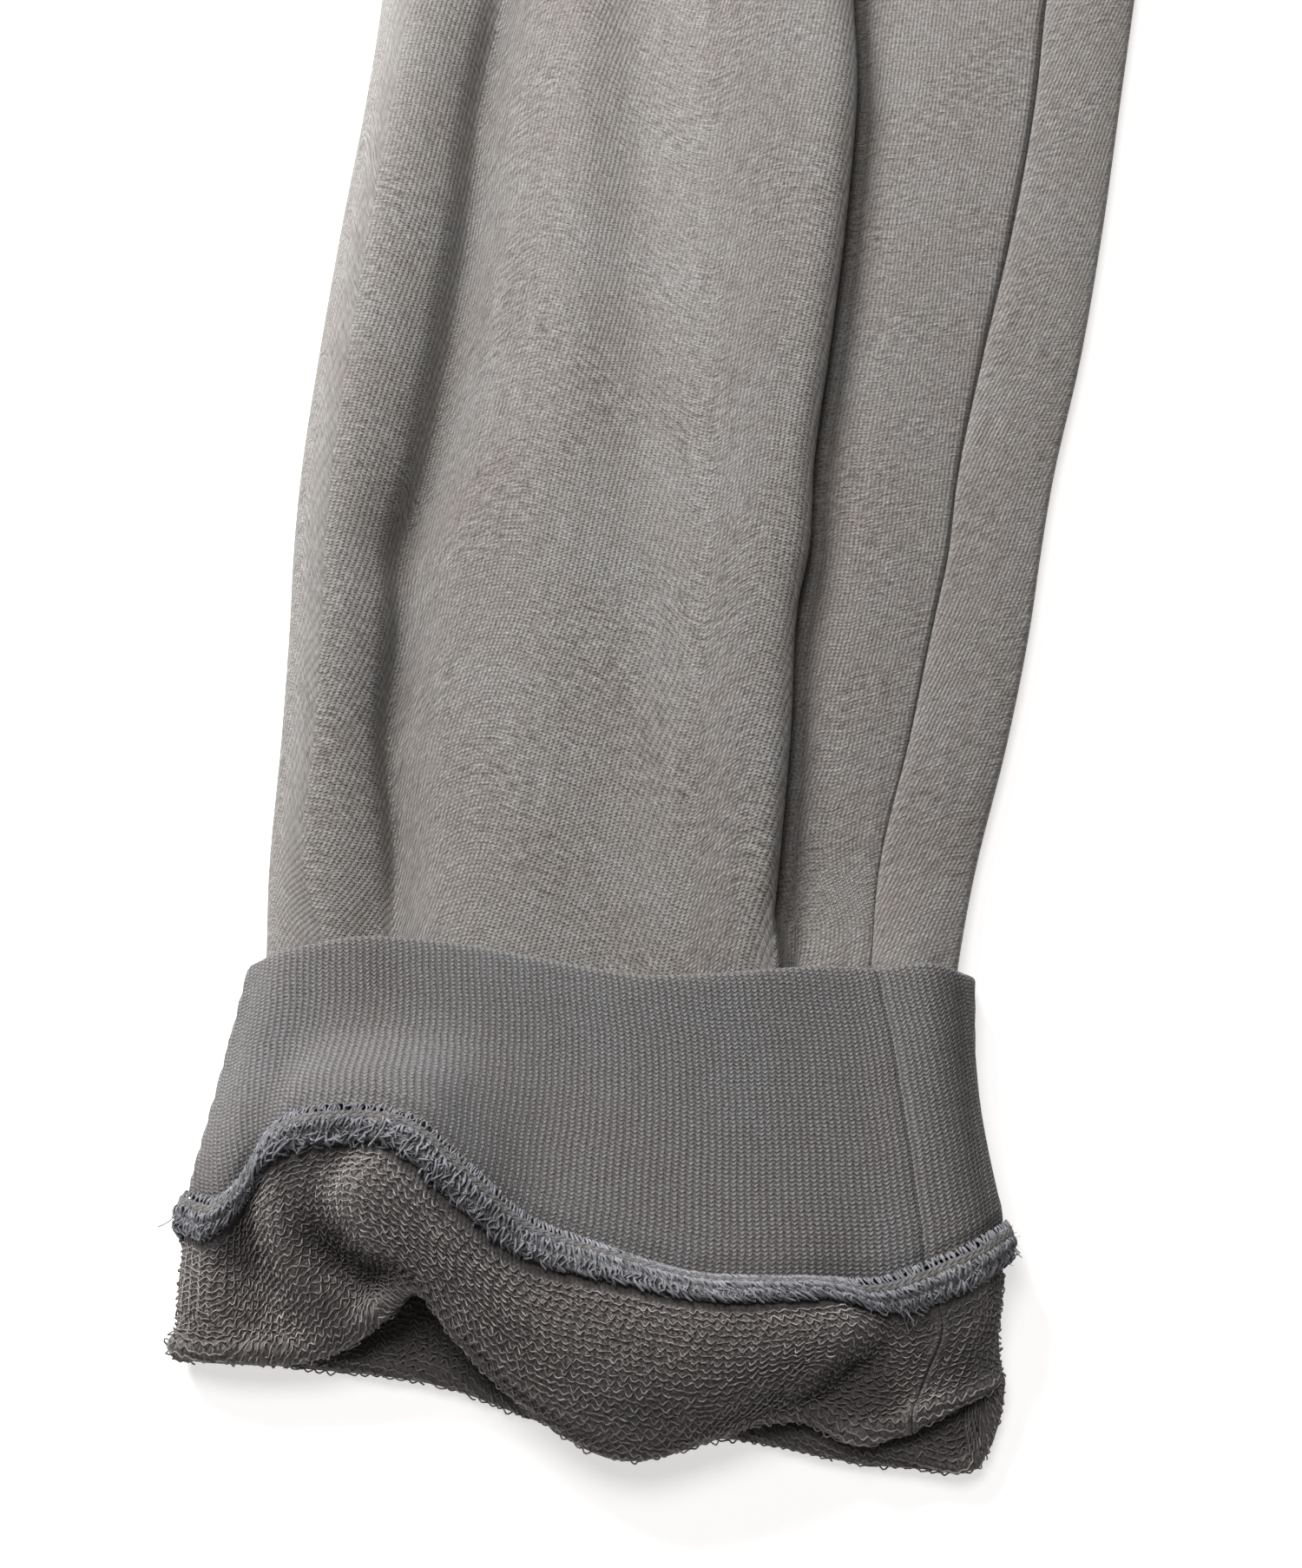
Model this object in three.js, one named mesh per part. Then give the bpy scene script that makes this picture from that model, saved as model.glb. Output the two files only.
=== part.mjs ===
// Jogger sweatpants laid flat, with the right leg's end turned up over itself. Millimetres, +Z up.
// The origin is on the table under the middle of the garment, +Y runs to the waist, and +X to the
// wearer's left leg.
import * as THREE from 'three';

// Driving dimensions of the cloth
const terry = 1.5;            // thickness of the looped jersey
const rib = 2.4;              // thickness of the folded rib
const band = 3.2;             // thickness of the folded waistband with its elastic
const seamGap = 0.3;          // between pieces at a seam
const layerPitch = 2.4;       // between the middles of two layers that lie on each other
const tableLayer = terry / 2; // height of the middle of the lowest layer
const seamPitch = 2.9;        // the same where the cuff seam is thick
const sideLayer = 1.2;        // times as much at the side edges, where the layers nest
const rollIn = 4.5;           // from the side edge to where its roll flattens
const mouthFold = 1.25;       // radius of the fold at the turned-up mouth
const foldBase = 7;           // height that the upper leg's folds rise and sink from

// Driving dimensions of the garment
const crotchInLeg = { x: 172, y: 595 };     // the crotch in the turned-up leg's own frame
const legTurn = THREE.MathUtils.degToRad(5); // how far the turned-up leg leans inwards
const layoutCentre = { x: 0, y: 207.5 };   // from the crotch to the middle of the garment
const outseamInset = 17;      // the outer seam lies this far in, on the underside
const cuffTall = 53;
const waistTall = 40;
const waistSeamY = 250;
const waistHalf = 196;
const bandGathers = 36;
const gatherRise = 0.5;

const material = {
  jersey: { color: 0x86817f, roughness: 0.95, metalness: 0 },
  rib: { color: 0x6d6a6a, roughness: 0.95, metalness: 0 },
  thread: { color: 0x75737a, roughness: 0.9, metalness: 0 },
};

const point = (x, y, z) => new THREE.Vector3(x, y, z);
const mix = (a, b, t) => a + (b - a) * t;

// A table's rows as objects whose keys are the column names
function table(names, rows) {
  return rows.map((row) => Object.fromEntries(names.map((name, i) => [name, row[i]])));
}

// Where each line of the turned-up leg's cloth lies across it: y from the mouth, then each line's x
const legLines = ['leftEdge', 'rollCrest', 'rollFoot', 'valley', 'midRise', 'middle', 'dip',
  'foldRise', 'foldCrest', 'foldEdge', 'panel', 'inseam', 'rightRoll', 'rightEdge'];
const legAcross = table(['y', ...legLines], [
  [66, -69.5, -58, -50, -46, -38, -25, -8, 6, 15, 21, 31, 38, 45.5, 51.8],
  [87, -69.5, -58.5, -51, -47, -39, -25, -8, 6, 15.6, 22, 31.7, 40, 48, 55.2],
  [105, -70.6, -63.5, -51.3, -48, -38, -25, -6.4, 8, 17, 22.8, 33, 42.2, 51, 59.5],
  [132, -70.2, -63, -54.5, -51, -38.5, -24, -3.3, 9, 18.7, 25.7, 37.5, 49.3, 59, 67.5],
  [159, -70.3, -63.2, -54, -49.8, -36.5, -20.2, -1, 11, 20.4, 27.8, 40.5, 55.8, 65.7, 74.2],
  [171, -70.6, -63.6, -55, -50.5, -37, -18.7, -1.4, 11.8, 22, 30.3, 42.6, 58.8, 68.5, 76.6],
  [189, -70.4, -63.2, -52, -46.5, -33.5, -19, -2, 12.4, 23.2, 31.7, 44.6, 61.8, 72.3, 80.5],
  [219, -68.5, -61.2, -48.3, -42.5, -29.5, -17, -3, 13.2, 25.6, 36.2, 49.5, 69, 79.8, 88.7],
  [252, -65.7, -58.4, -45.2, -39.3, -27, -15.5, -3.3, 13.6, 28.2, 40.8, 55, 77.6, 87.7, 96.2],
  [287, -62.2, -55, -43, -37.6, -26, -15, -3.6, 14, 30.4, 44.3, 60, 85, 94.7, 103.2],
  [312, -60.4, -53.2, -40, -34, -24, -14, -3.9, 14.4, 30.7, 44.5, 61.5, 89, 99.2, 108.2],
]);

// How high each line lies at the same places
const legHeights = table(['y', ...legLines], [
  [66, 5, 10, 8.5, 7.8, 8.5, 9, 9, 9.8, 9.8, 9, 8, 8, 8, 5],
  [87, 4.6, 10, 8, 7, 8, 9, 9, 10.3, 10.6, 10.1, 6.2, 6.8, 7.4, 4.8],
  [105, 3, 9.6, 7.2, 3.8, 6.6, 8.9, 8.8, 10.6, 11.2, 9.6, 5.2, 5.3, 5.2, 3],
  [132, 3, 9.8, 7.6, 3.2, 6, 8.6, 8.8, 11, 11.9, 10, 6, 5, 4.8, 3],
  [159, 3, 10, 7.8, 2.9, 6, 8.6, 8.6, 11.3, 12.4, 10.4, 6.2, 4.8, 4.6, 3],
  [171, 3, 10, 7.8, 2.8, 6, 8.7, 8.4, 11.4, 12.6, 10.5, 6.2, 4.8, 4.6, 3],
  [189, 3, 10.2, 8, 2.8, 6, 8.7, 8.1, 11.5, 12.8, 10.6, 6.2, 4.8, 4.6, 3],
  [219, 3, 10.4, 8.2, 3, 6, 8.6, 7.6, 11.7, 13, 10.7, 6.2, 4.8, 4.7, 3],
  [252, 3, 10.4, 8.2, 3.2, 6, 8.4, 7.2, 11.7, 13, 10.7, 6.2, 4.9, 4.8, 3],
  [287, 3, 10.2, 8, 3.6, 6, 8.2, 6.9, 11.6, 12.9, 10.6, 6, 5, 4.9, 3],
  [312, 3, 10, 8, 4, 6.2, 8.1, 6.8, 11.4, 12.6, 10.4, 5.9, 5, 5, 3],
]);

// The turned-up end: rows from the cuff seam to the mouth fold, as x, y and z of each line
const endLines = ['leftEdge', 'strip', 'hollow', 'crest', 'rim', 'hump', 'humpSlope', 'bulgeLeft',
  'bulge', 'bulgeRight', 'edge', 'floor', 'panel', 'inseam', 'rightRoll', 'rightEdge'];
const endAcross = table(['row', ...endLines], [
  ['seam', -79.5, -74, -68.5, -62.5, -52.5, -41.5, -31.3, -21.5, -7, 10, 25, 33, 39, 46, 53, 60],
  ['upper', -80, -75, -69, -62.7, -56.7, -47.7, -35.8, -23.7, -5, 15, 33, 38.5, 43, 48.5, 53.5, 59],
  ['lower', -80.3, -73.5, -64.8, -58.5, -52.5, -45.4, -32.8, -21.3, -4.5, 12, 26, 32, 38.5, 46, 52, 58],
  ['hem', -80.3, -72.3, -62.5, -53.4, -47.5, -41.3, -31.5, -21.4, -4.5, 10, 21.5, 28, 36, 44, 50.5, 58],
  ['mouth', -80.3, -71, -59.2, -50.8, -44.9, -38.7, -31.4, -21.6, -4, 8.5, 17.5, 24, 35, 43, 49.5, 57.5],
]);
const endAlong = table(['row', ...endLines], [
  ['seam', 44, 42, 48, 54, 56, 54, 46, 38, 33, 29, 29, 29, 29, 31, 34, 39],
  ['upper', 36, 34.4, 38.1, 39.8, 40.6, 42.7, 38.6, 31.1, 24, 22, 22, 22, 22, 23, 24, 27],
  ['lower', 28, 26.9, 28.7, 31.6, 33.8, 34.9, 28.7, 19.8, 12.5, 13, 15.5, 16, 14, 16, 18.5, 21.5],
  ['hem', 23, 21.6, 22.7, 25.8, 29.3, 32, 23.3, 13.9, 6.8, 8.5, 11.5, 12.3, 9, 11, 14, 17.5],
  ['mouth', 19, 17.9, 17.9, 20.4, 24.4, 28.1, 20.2, 11.3, 2.3, 5, 8, 8.6, 4.8, 7, 10, 14],
]);
const endHeights = table(['row', ...endLines], [
  ['seam', 7.4, 11, 14.8, 19, 23, 24, 22, 18.5, 16.5, 15.5, 14.5, 13, 13, 13, 12.5, 7],
  ['upper', 5, 9.5, 8.6, 17, 16.5, 25.5, 23, 19, 18.5, 17, 15.5, 11.6, 11.2, 11.4, 11, 5],
  ['lower', 4.2, 8.6, 7.4, 14.5, 9.6, 21.5, 21, 18, 17, 15.8, 13.5, 8.9, 8.6, 8.8, 8.7, 4.6],
  ['hem', 4.2, 7.9, 7.4, 11.6, 9, 19.5, 18, 14.5, 13.5, 12, 10.8, 7.9, 7.8, 7.9, 7.9, 4.4],
  ['mouth', 4.2, 7, 6.9, 8.6, 11.5, 17.5, 14.5, 10.5, 8.8, 8.6, 8.4, 7, 6.8, 6.8, 6.8, 4.2],
]);
// The underside's cloth in each row: its share of the way from the seam to the mouth, and height
const endUnder = {
  seam: { share: 0, z: 3.3 },
  upper: { share: 0.36, z: 3.1 },
  lower: { share: 0.72, z: tableLayer },
  hem: { share: 0.88, z: tableLayer },
  mouth: { share: 1, z: 2 },
};
// The lower layer's mouth edge on the table
const tableMouth = table(['x', 'y'], [
  [-81, 19], [-67, 18], [-52, 18], [-40, 16], [-28, 12], [-16, 7], [-1, 7], [15, 6], [31, 4],
  [44, 1], [54, 0], [59, 12],
]);
const tableSeamY = 37;

// The rib turned up over the leg: rows from its seam to its folded edge
const ribLines = ['leftEdge', 'r1', 'r2', 'r3', 'r4', 'r5', 'r6', 'r7', 'r8', 'r9', 'r10', 'r11',
  'r12', 'r13', 'r14', 'rightEdge'];
const ribAcross = table(['row', ...ribLines], [
  ['low', -78, -71, -65, -59, -51, -39, -30, -20, -6, 8, 21, 30, 38, 44, 52, 58.4],
  ['mid', -75, -68, -61, -55, -47, -36, -26, -16, -4, 9, 21, 31, 38, 43, 50.5, 56.8],
  ['top', -72.4, -65, -58, -52, -44, -33, -23, -13, -2, 10, 22, 31, 37, 42, 50, 57.6],
]);
const ribAlong = table(['row', ...ribLines], [
  ['low', 53, 53, 58, 62, 62, 61, 56, 50, 46, 43, 42, 42, 43, 43, 45, 49],
  ['mid', 70, 70, 71, 72, 72, 71, 69, 66, 64, 63, 63, 63, 64, 64, 65, 66],
  ['top', 86, 87, 88, 89, 89, 88, 86, 84, 82, 82, 83, 84, 84, 84, 85, 84],
]);
const ribHeights = table(['row', ...ribLines], [
  ['low', 7, 14, 16.6, 19, 21.5, 21, 18.5, 16, 15, 14.5, 14, 13.5, 13, 13, 12, 7],
  ['mid', 6, 13, 14.5, 15.5, 15.5, 14.5, 13.5, 13, 13.3, 13.5, 13.5, 12.8, 12, 12, 11.4, 6],
  ['top', 5.5, 12, 13.6, 13.8, 12.6, 12, 12.2, 12.5, 13.4, 14, 13.6, 12, 11, 10.8, 10.5, 5.5],
]);
const ribUnder = {
  seam: { y: tableSeamY, z: 3.3 }, low: { y: 50, z: 1.4 }, mid: { y: 66, z: 1.2 }, top: { y: 86, z: 1.2 },
};

// The right half above the photo: each row's y from the crotch, its edges, the seams' places and
// how much of the leg's folds is left
const upperRight = table(['y', 'outer', 'inner', 'inseamIn', 'loft', 'folds'], [
  [-235, -214, -33, 17, 6, 0.9],
  [-170, -231, -24, 14, 6, 0.6],
  [-100, -253, -14, 10, 6, 0.3],
  [-35, -272, -4.5, 6.5, 5.6, 0.12],
  [0, -278, -1.2, 0, 5.4, 0.06],
  [30, -279, -0.5, 0, 5.2, 0],
  [100, -270, -0.15, 0, 5.4, 0],
  [180, -247, -0.15, 0, 5.6, 0],
  [250, -200, -0.15, 0, 6, 0],
]);
// The left half, worn down: rows from the cuff seam to the waist
const leftRows = table(['y', 'inner', 'outer', 'inseamIn', 'loft'], [
  [-652, 77, 194, 17, 7],
  [-640, 73, 197, 17, 7],
  [-600, 64, 204, 17, 6.5],
  [-500, 56, 210, 17, 6],
  [-400, 46, 216, 17, 6],
  [-300, 36, 224, 17, 6],
  [-200, 25, 234, 15, 6],
  [-100, 13, 254, 10, 6],
  [-35, 4.5, 272, 6.5, 5.6],
  [0, 1.2, 278, 0, 5.4],
  [30, 0.5, 279, 0, 5.2],
  [100, 0.15, 270, 0, 5.4],
  [180, 0.15, 247, 0, 5.6],
  [250, 0.15, 200, 0, 6],
]);

// Soft creases of the plain parts: middle, length and width in mm, turn in degrees, height in mm
const softCreases = table(['x', 'y', 'long', 'wide', 'turn', 'rise'], [
  [130, -560, 150, 14, 84, 2.2],
  [160, -585, 110, 12, 96, 1.8],
  [105, -470, 190, 16, 98, 2.4],
  [170, -380, 230, 18, 86, 2],
  [120, -250, 200, 20, 95, 1.8],
  [60, -60, 150, 18, 38, 2.4],
  [95, -20, 170, 20, 24, 2],
  [-60, -60, 150, 18, 142, 2.4],
  [-105, -15, 170, 20, 156, 1.8],
  [-175, -60, 180, 22, 100, 1.6],
  [-120, 130, 160, 22, 74, 1.6],
  [150, 120, 170, 24, 104, 1.6],
  [215, -90, 190, 20, 82, 2],
]);

// Where the lines of the left leg's upper layer lie across it, and how they rise and sink
const leftTop = table(['share', 'rise'], [
  [0, -0.2], [0.1, 0.9], [0.24, 0.6], [0.4, -0.4], [0.56, -0.6], [0.72, -0.2], [0.9, 0.8], [1, 0],
]);

// The fold that lies over the floor: from its edge back under itself and out along the floor
const foldSteps = table(['back', 'drop'], [
  [0.3, -0.22], [0, 0.06], [0.33, 0.27], [0.8, 0.38], [1, 0.62], [0.8, 0.87],
]);
// Where it does not tuck, the cloth steps to the edge and down to the floor
const stepsToEdge = [0.45, 0.8, 1];
const stepsToFloor = [0.3, 0.55, 0.8];
const edgeRounding = 0.1;      // share of the way to the floor that the rounded edge has sunk
const floorBeyondEdge = 3.5;
const floorBelowPanel = 0.3;
// How the fold deepens and the underside comes down to the table above the turned-up cuff
const legDepths = table(['y', 'tuck', 'under'], [
  [66, 0, 3.6], [87, 0, 3.6], [105, 3.6, 0.9], [132, 5, tableLayer], [312, 5.5, tableLayer],
]);

// The sides of the tube, where it turns under itself
const edgeTurn = 2.4;
const cornerTurn = 0.3;        // times as much at the cuff's stiffer corners
const underShares = [0, 0.12, 0.34, 0.56, 0.78, 1];
const sideEdgeZ = 2.9;
const sideTurnRise = 1.6;
const seamTurnRise = 1.4;
const firstTopShare = 7;       // from the outer edge to the upper layer's first line
const crotchOpen = 0.135;
// Above the inseam the back panel's first lines lie close beside the centre seam, and at the
// crotch they drop from the side edge to the table
const openBack = table(['inset', 'drop'], [[0, 0], [0.4, 0.4], [1, 0.75], [2.2, 0.95], [5, 1]]);
// How far the outer seam lies under the side edge
const sideSeams = table(['y', 'inset'], [[-300, outseamInset], [0, 9], [200, 5], [251, 5]]);

// The overlocked allowance of the cuff seam, row by row from the seam down
const allowanceThick = [1, 2, 2, 1.4];
const allowanceOver = -0.45;   // share of a row by which it starts above the seam
const allowanceGap = 0.7;      // between it and the cloth it is sewn to

// The cuffs
const ribSeamGap = 1.3;
const ribAtSeam = 1.4;         // pressed thinner where the seam holds it
const leftCuffRows = table(['share', 'half', 'upper', 'shift'], [
  [0, 58, 6.9, 0], [0.35, 57, 6.2, -0.7], [0.7, 57, 5.8, -1.4], [1, 57.5, 5.4, -2],
]);

// The waistband
const bandUpper = 6.8;
const bandRows = [0, 0.15, 0.85, 1];

// How many points the solids take on each stretch between lines, and between rows
const frontColumns = [1, 1, 1, 1, 2, 2, 2, 1, 2, 2, 1, 2, 1, 1, 1, 1, 1, 1, 2, 2];
const backColumns = [2, 1, 1, 1, 1, 1, 2, 2, 1];
const rightRowCounts = [4, 2, 1, 1, 1, 1, 1, 1, 1, 1, 2, 1, 1, 1, 1, 1, 1, 1, 2, 2, 2, 1, 2, 2, 2,
  2, 1, 1, 2, 2];
const leftFrontColumns = [1, 1, 1, 1, 1, 1, 1, 2, 2, 2, 1];
const leftRowCounts = [1, 2, 2, 2, 2, 2, 2, 2, 1, 1, 2, 2, 2];
const ribColumns = 44;
const ribSmoothing = 4;
const ribRowCounts = [2, 2, 2];
const plainRibColumns = 24;
const underColumns = 8;
const turnColumns = 3;
const pointsPerGather = 3;

// Smooth curve through the knots, with the given number of points on each stretch
function smooth(knots, counts) {
  const gaps = counts.map((count, i) => Math.max(knots[i + 1].distanceTo(knots[i]), 1e-3));
  const speeds = counts.map((count, i) => knots[i + 1].clone().sub(knots[i]).divideScalar(gaps[i]));
  const slopes = knots.map((knot, i) => {
    if (i === 0) return speeds[0];
    if (i === gaps.length) return speeds[i - 1];
    const before = speeds[i - 1].clone().multiplyScalar(gaps[i]);
    const after = speeds[i].clone().multiplyScalar(gaps[i - 1]);
    return before.add(after).divideScalar(gaps[i - 1] + gaps[i]);
  });
  const points = [knots[0].clone()];
  counts.forEach((count, i) => {
    for (let k = 1; k <= count; k += 1) {
      const t = k / count;
      const a = knots[i].clone().multiplyScalar((1 + 2 * t) * (1 - t) ** 2);
      const b = slopes[i].clone().multiplyScalar(gaps[i] * t * (1 - t) ** 2);
      const c = knots[i + 1].clone().multiplyScalar(t * t * (3 - 2 * t));
      const d = slopes[i + 1].clone().multiplyScalar(gaps[i] * t * t * (t - 1));
      points.push(a.add(b).add(c).add(d));
    }
  });
  return points;
}

// A smooth net from rows of knots, by columns and then by rows
function net(rows, columnCounts, rowCounts) {
  const across = rows.map((row) => smooth(row, columnCounts));
  const along = across[0].map((_, j) => smooth(across.map((row) => row[j]), rowCounts));
  return along[0].map((_, i) => along.map((column) => column[i]));
}

// The same number of points spaced evenly along a line
function evenly(line, count) {
  const travelled = [0];
  line.slice(1).forEach((p, i) => travelled.push(travelled[i] + p.distanceTo(line[i])));
  const total = travelled[travelled.length - 1];
  let k = 0;
  return Array.from({ length: count + 1 }, (_, n) => {
    const s = (total * n) / count;
    while (k < line.length - 2 && travelled[k + 1] < s) k += 1;
    const t = (s - travelled[k]) / (travelled[k + 1] - travelled[k]);
    return line[k].clone().lerp(line[k + 1], t);
  });
}

// The cloth's face side at each point of a net
function faceNormals(grid, closed) {
  const last = grid[0].length - 1;
  return grid.map((row, i) => row.map((_, j) => {
    const left = closed ? (j + last) % (last + 1) : Math.max(j - 1, 0);
    const right = closed ? (j + 1) % (last + 1) : Math.min(j + 1, last);
    const below = grid[Math.max(i - 1, 0)][j];
    const above = grid[Math.min(i + 1, grid.length - 1)][j];
    const across = row[right].clone().sub(row[left]);
    return across.cross(above.clone().sub(below)).normalize();
  }));
}

const moved = (p, direction, distance) => p.clone().addScaledVector(direction, distance);
// The underside is pressed flat on the table
const onTable = (p) => point(p.x, p.y, Math.max(p.z, 0));

// A net moved out along its normals by a distance that may vary
function offset(grid, normals, distance) {
  const by = typeof distance === 'function' ? distance : () => distance;
  return grid.map((row, i) => row.map((p, j) => onTable(moved(p, normals[i][j], by(i, j)))));
}

// A closed solid between two nets of the same size
function solid(name, look, one, two, closed) {
  const rows = one.length;
  const columns = one[0].length;
  const positions = [...one.flat(), ...two.flat()].flatMap((p) => [p.x, p.y, p.z]);
  const index = [];
  const at = (layer, i, j) => layer * rows * columns + i * columns + (j % columns);
  const quad = (a, b, c, d) => index.push(a, b, c, a, c, d);
  const spans = closed ? columns : columns - 1;
  for (let i = 0; i < rows - 1; i += 1) {
    for (let j = 0; j < spans; j += 1) {
      quad(at(0, i, j), at(0, i, j + 1), at(0, i + 1, j + 1), at(0, i + 1, j));
      quad(at(1, i, j), at(1, i + 1, j), at(1, i + 1, j + 1), at(1, i, j + 1));
    }
  }
  for (let j = 0; j < spans; j += 1) {
    quad(at(0, 0, j), at(1, 0, j), at(1, 0, j + 1), at(0, 0, j + 1));
    const end = rows - 1;
    quad(at(0, end, j), at(0, end, j + 1), at(1, end, j + 1), at(1, end, j));
  }
  if (!closed) {
    for (let i = 0; i < rows - 1; i += 1) {
      quad(at(0, i, 0), at(0, i + 1, 0), at(1, i + 1, 0), at(1, i, 0));
      const side = columns - 1;
      quad(at(0, i, side), at(1, i, side), at(1, i + 1, side), at(0, i + 1, side));
    }
  }
  const corner = (k) => point(...positions.slice(3 * k, 3 * k + 3));
  let volume = 0;
  for (let k = 0; k < index.length; k += 3) {
    volume += corner(index[k]).dot(corner(index[k + 1]).cross(corner(index[k + 2])));
  }
  if (volume < 0) index.reverse();
  const geometry = new THREE.BufferGeometry();
  geometry.setAttribute('position', new THREE.Float32BufferAttribute(positions, 3));
  geometry.setIndex(index);
  geometry.computeVertexNormals();
  const mesh = new THREE.Mesh(geometry, new THREE.MeshStandardMaterial(material[look]));
  mesh.name = name;
  return mesh;
}

function wall(name, look, { grid, normals }, thickness, closed = false) {
  return solid(name, look, offset(grid, normals, thickness / 2),
    offset(grid, normals, -thickness / 2), closed);
}

// From the turned-up leg's own frame to the garment's, whose origin is the crotch
function legToGarment(p) {
  const dx = p.x - crotchInLeg.x;
  const dy = p.y - crotchInLeg.y;
  return point(dx * Math.cos(legTurn) - dy * Math.sin(legTurn),
    dx * Math.sin(legTurn) + dy * Math.cos(legTurn), p.z);
}

function tuckedFold(crest, edge, floor, depth) {
  if (depth === 0) {
    const down = edge.clone().lerp(floor, edgeRounding);
    return [...stepsToEdge.map((t) => crest.clone().lerp(edge, t)),
      ...stepsToFloor.map((t) => down.clone().lerp(floor, t))];
  }
  const drop = edge.z - floor.z;
  return foldSteps.map(({ back, drop: down }) => (
    point(edge.x - back * depth, edge.y, edge.z - down * drop)));
}

// One row round the leg from lines on its top: the front from the outer seam to the inseam, and
// the back on round the right edge and under to the outer seam
const shoulder = (side, inward, next) => point(side.x + inward * edgeTurn,
  mix(side.y, next.y, 0.35), mix(side.z, next.z, 0.5));
function ringRow(crests, fold, lines, under, leftEdge, rightEdge) {
  const { floor, panel, inseam, roll } = lines;
  const underStart = rightEdge.x - edgeTurn;
  const underWidth = underStart - leftEdge.x - outseamInset;
  return {
    front: [under(leftEdge.x + outseamInset), under(leftEdge.x + edgeTurn), leftEdge,
      ...crests, ...fold, floor, panel, inseam],
    back: [inseam, roll, shoulder(rightEdge, -1, roll), rightEdge,
      ...underShares.map((t) => under(underStart - t * underWidth))],
  };
}

// A value of a table at a place between two of its rows
function lookUp(rows, key, value, at) {
  const k = rows.findIndex((row) => row[key] >= at);
  if (k <= 0) return rows.at(k)[value];
  const t = (at - rows[k - 1][key]) / (rows[k][key] - rows[k - 1][key]);
  return mix(rows[k - 1][value], rows[k][value], t);
}

function legRow(across, heights, tucked = true) {
  const at = (line) => point(across[line], across.y, heights[line]);
  const [leftEdge, ...crests] = legLines.slice(0, 9).map(at);
  const [edge, panel, inseam, roll, rightEdge] = legLines.slice(9).map(at);
  const floor = point(edge.x + floorBeyondEdge, across.y, panel.z - floorBelowPanel);
  const tuck = tucked ? lookUp(legDepths, 'y', 'tuck', across.y) : 0;
  const underZ = lookUp(legDepths, 'y', 'under', across.y);
  const fold = tuckedFold(crests.at(-1), edge, floor, tuck);
  return ringRow([shoulder(leftEdge, 1, crests[0]), ...crests], fold, { floor, panel, inseam, roll },
    (x) => point(x, across.y, underZ), leftEdge, rightEdge);
}

// Lines moved inwards along their own section, as the next layer of the tube lies
function layered(lines, inward) {
  return lines.map((p, k) => {
    const before = lines[Math.max(k - 1, 0)];
    const after = lines[Math.min(k + 1, lines.length - 1)];
    const across = point(after.x - before.x, 0, after.z - before.z).normalize();
    return point(p.x + across.z * inward, p.y, p.z - across.x * inward);
  });
}

// A row of the turned-up end; a layer inside it lies further in
function endRow(name, inward = 0, up = 0) {
  const [x, y, z] = [endAcross, endAlong, endHeights].map((t) => t.find((r) => r.row === name));
  const outer = endLines.map((line) => point(x[line], y[line] + up, z[line]));
  const lines = layered(outer, inward);
  const { share, z: outerZ } = endUnder[name];
  const underZ = outerZ + inward;
  const under = (ux) => point(ux, up + mix(tableSeamY, lookUp(tableMouth, 'x', 'y', ux), share), underZ);
  const sideIn = inward * (inward > 0 ? sideLayer : 1);
  const side = (p, next, way) => point(p.x + way * sideIn, p.y, inward > 0 ? (underZ + next.z) / 2 : p.z);
  const leftEdge = side(outer[0], lines[1], 1);
  const rightEdge = side(outer.at(-1), lines.at(-2), -1);
  const crests = lines.slice(1, 10);
  const [edge, floor, panel, inseam, roll] = lines.slice(10, -1);
  roll.x = Math.min(roll.x, rightEdge.x - rollIn);
  const fold = tuckedFold(crests.at(-1), edge, floor, 0);
  return ringRow(crests, fold, { floor, panel, inseam, roll }, under, leftEdge, rightEdge);
}

// A row of the plain parts, from its outer and inner edges; above the crotch the back lies open
function plainRow(row, lines) {
  const side = Math.sign(row.outer);
  const width = Math.abs(row.outer - row.inner);
  const seamIn = lookUp(sideSeams, 'y', 'inset', row.y);
  const fromOuter = (d, z) => point(row.outer - side * d, row.y, z);
  const under = (d) => fromOuter(d, tableLayer);
  const turn = [edgeTurn, sideEdgeZ + sideTurnRise];
  const sideShare = Math.min(row.inseamIn / outseamInset, 1);
  const top = lines.map(({ share, rise }) => (
    fromOuter(mix(firstTopShare, width - row.inseamIn, share), row.loft + rise)));
  const left = width - seamIn;
  const atCrotch = row.y === 0;
  top.at(-1).z = atCrotch ? sideEdgeZ + crotchOpen : mix(sideEdgeZ + seamTurnRise, top.at(-1).z, sideShare);
  const front = [under(seamIn), under(edgeTurn), fromOuter(0, sideEdgeZ), fromOuter(...turn), ...top];
  if (row.inseamIn === 0) {
    const back = [...openBack.map(({ inset, drop }) => (
      fromOuter(width - inset, atCrotch ? mix(sideEdgeZ - crotchOpen, tableLayer, drop) : tableLayer))),
      ...underShares.slice(1).map((t) => under(width - openBack.at(-1).inset - t * (left - 5)))];
    return { front, back };
  }
  const back = [
    top.at(-1),
    fromOuter(width - row.inseamIn * 0.45, mix(sideEdgeZ + 1, row.loft, sideShare)),
    fromOuter(width - edgeTurn * sideShare, mix(sideEdgeZ, row.loft, sideShare / 2)),
    fromOuter(width, sideEdgeZ),
    ...underShares.map((t) => under(width - edgeTurn - t * (left - edgeTurn))),
  ];
  return { front, back };
}
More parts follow.
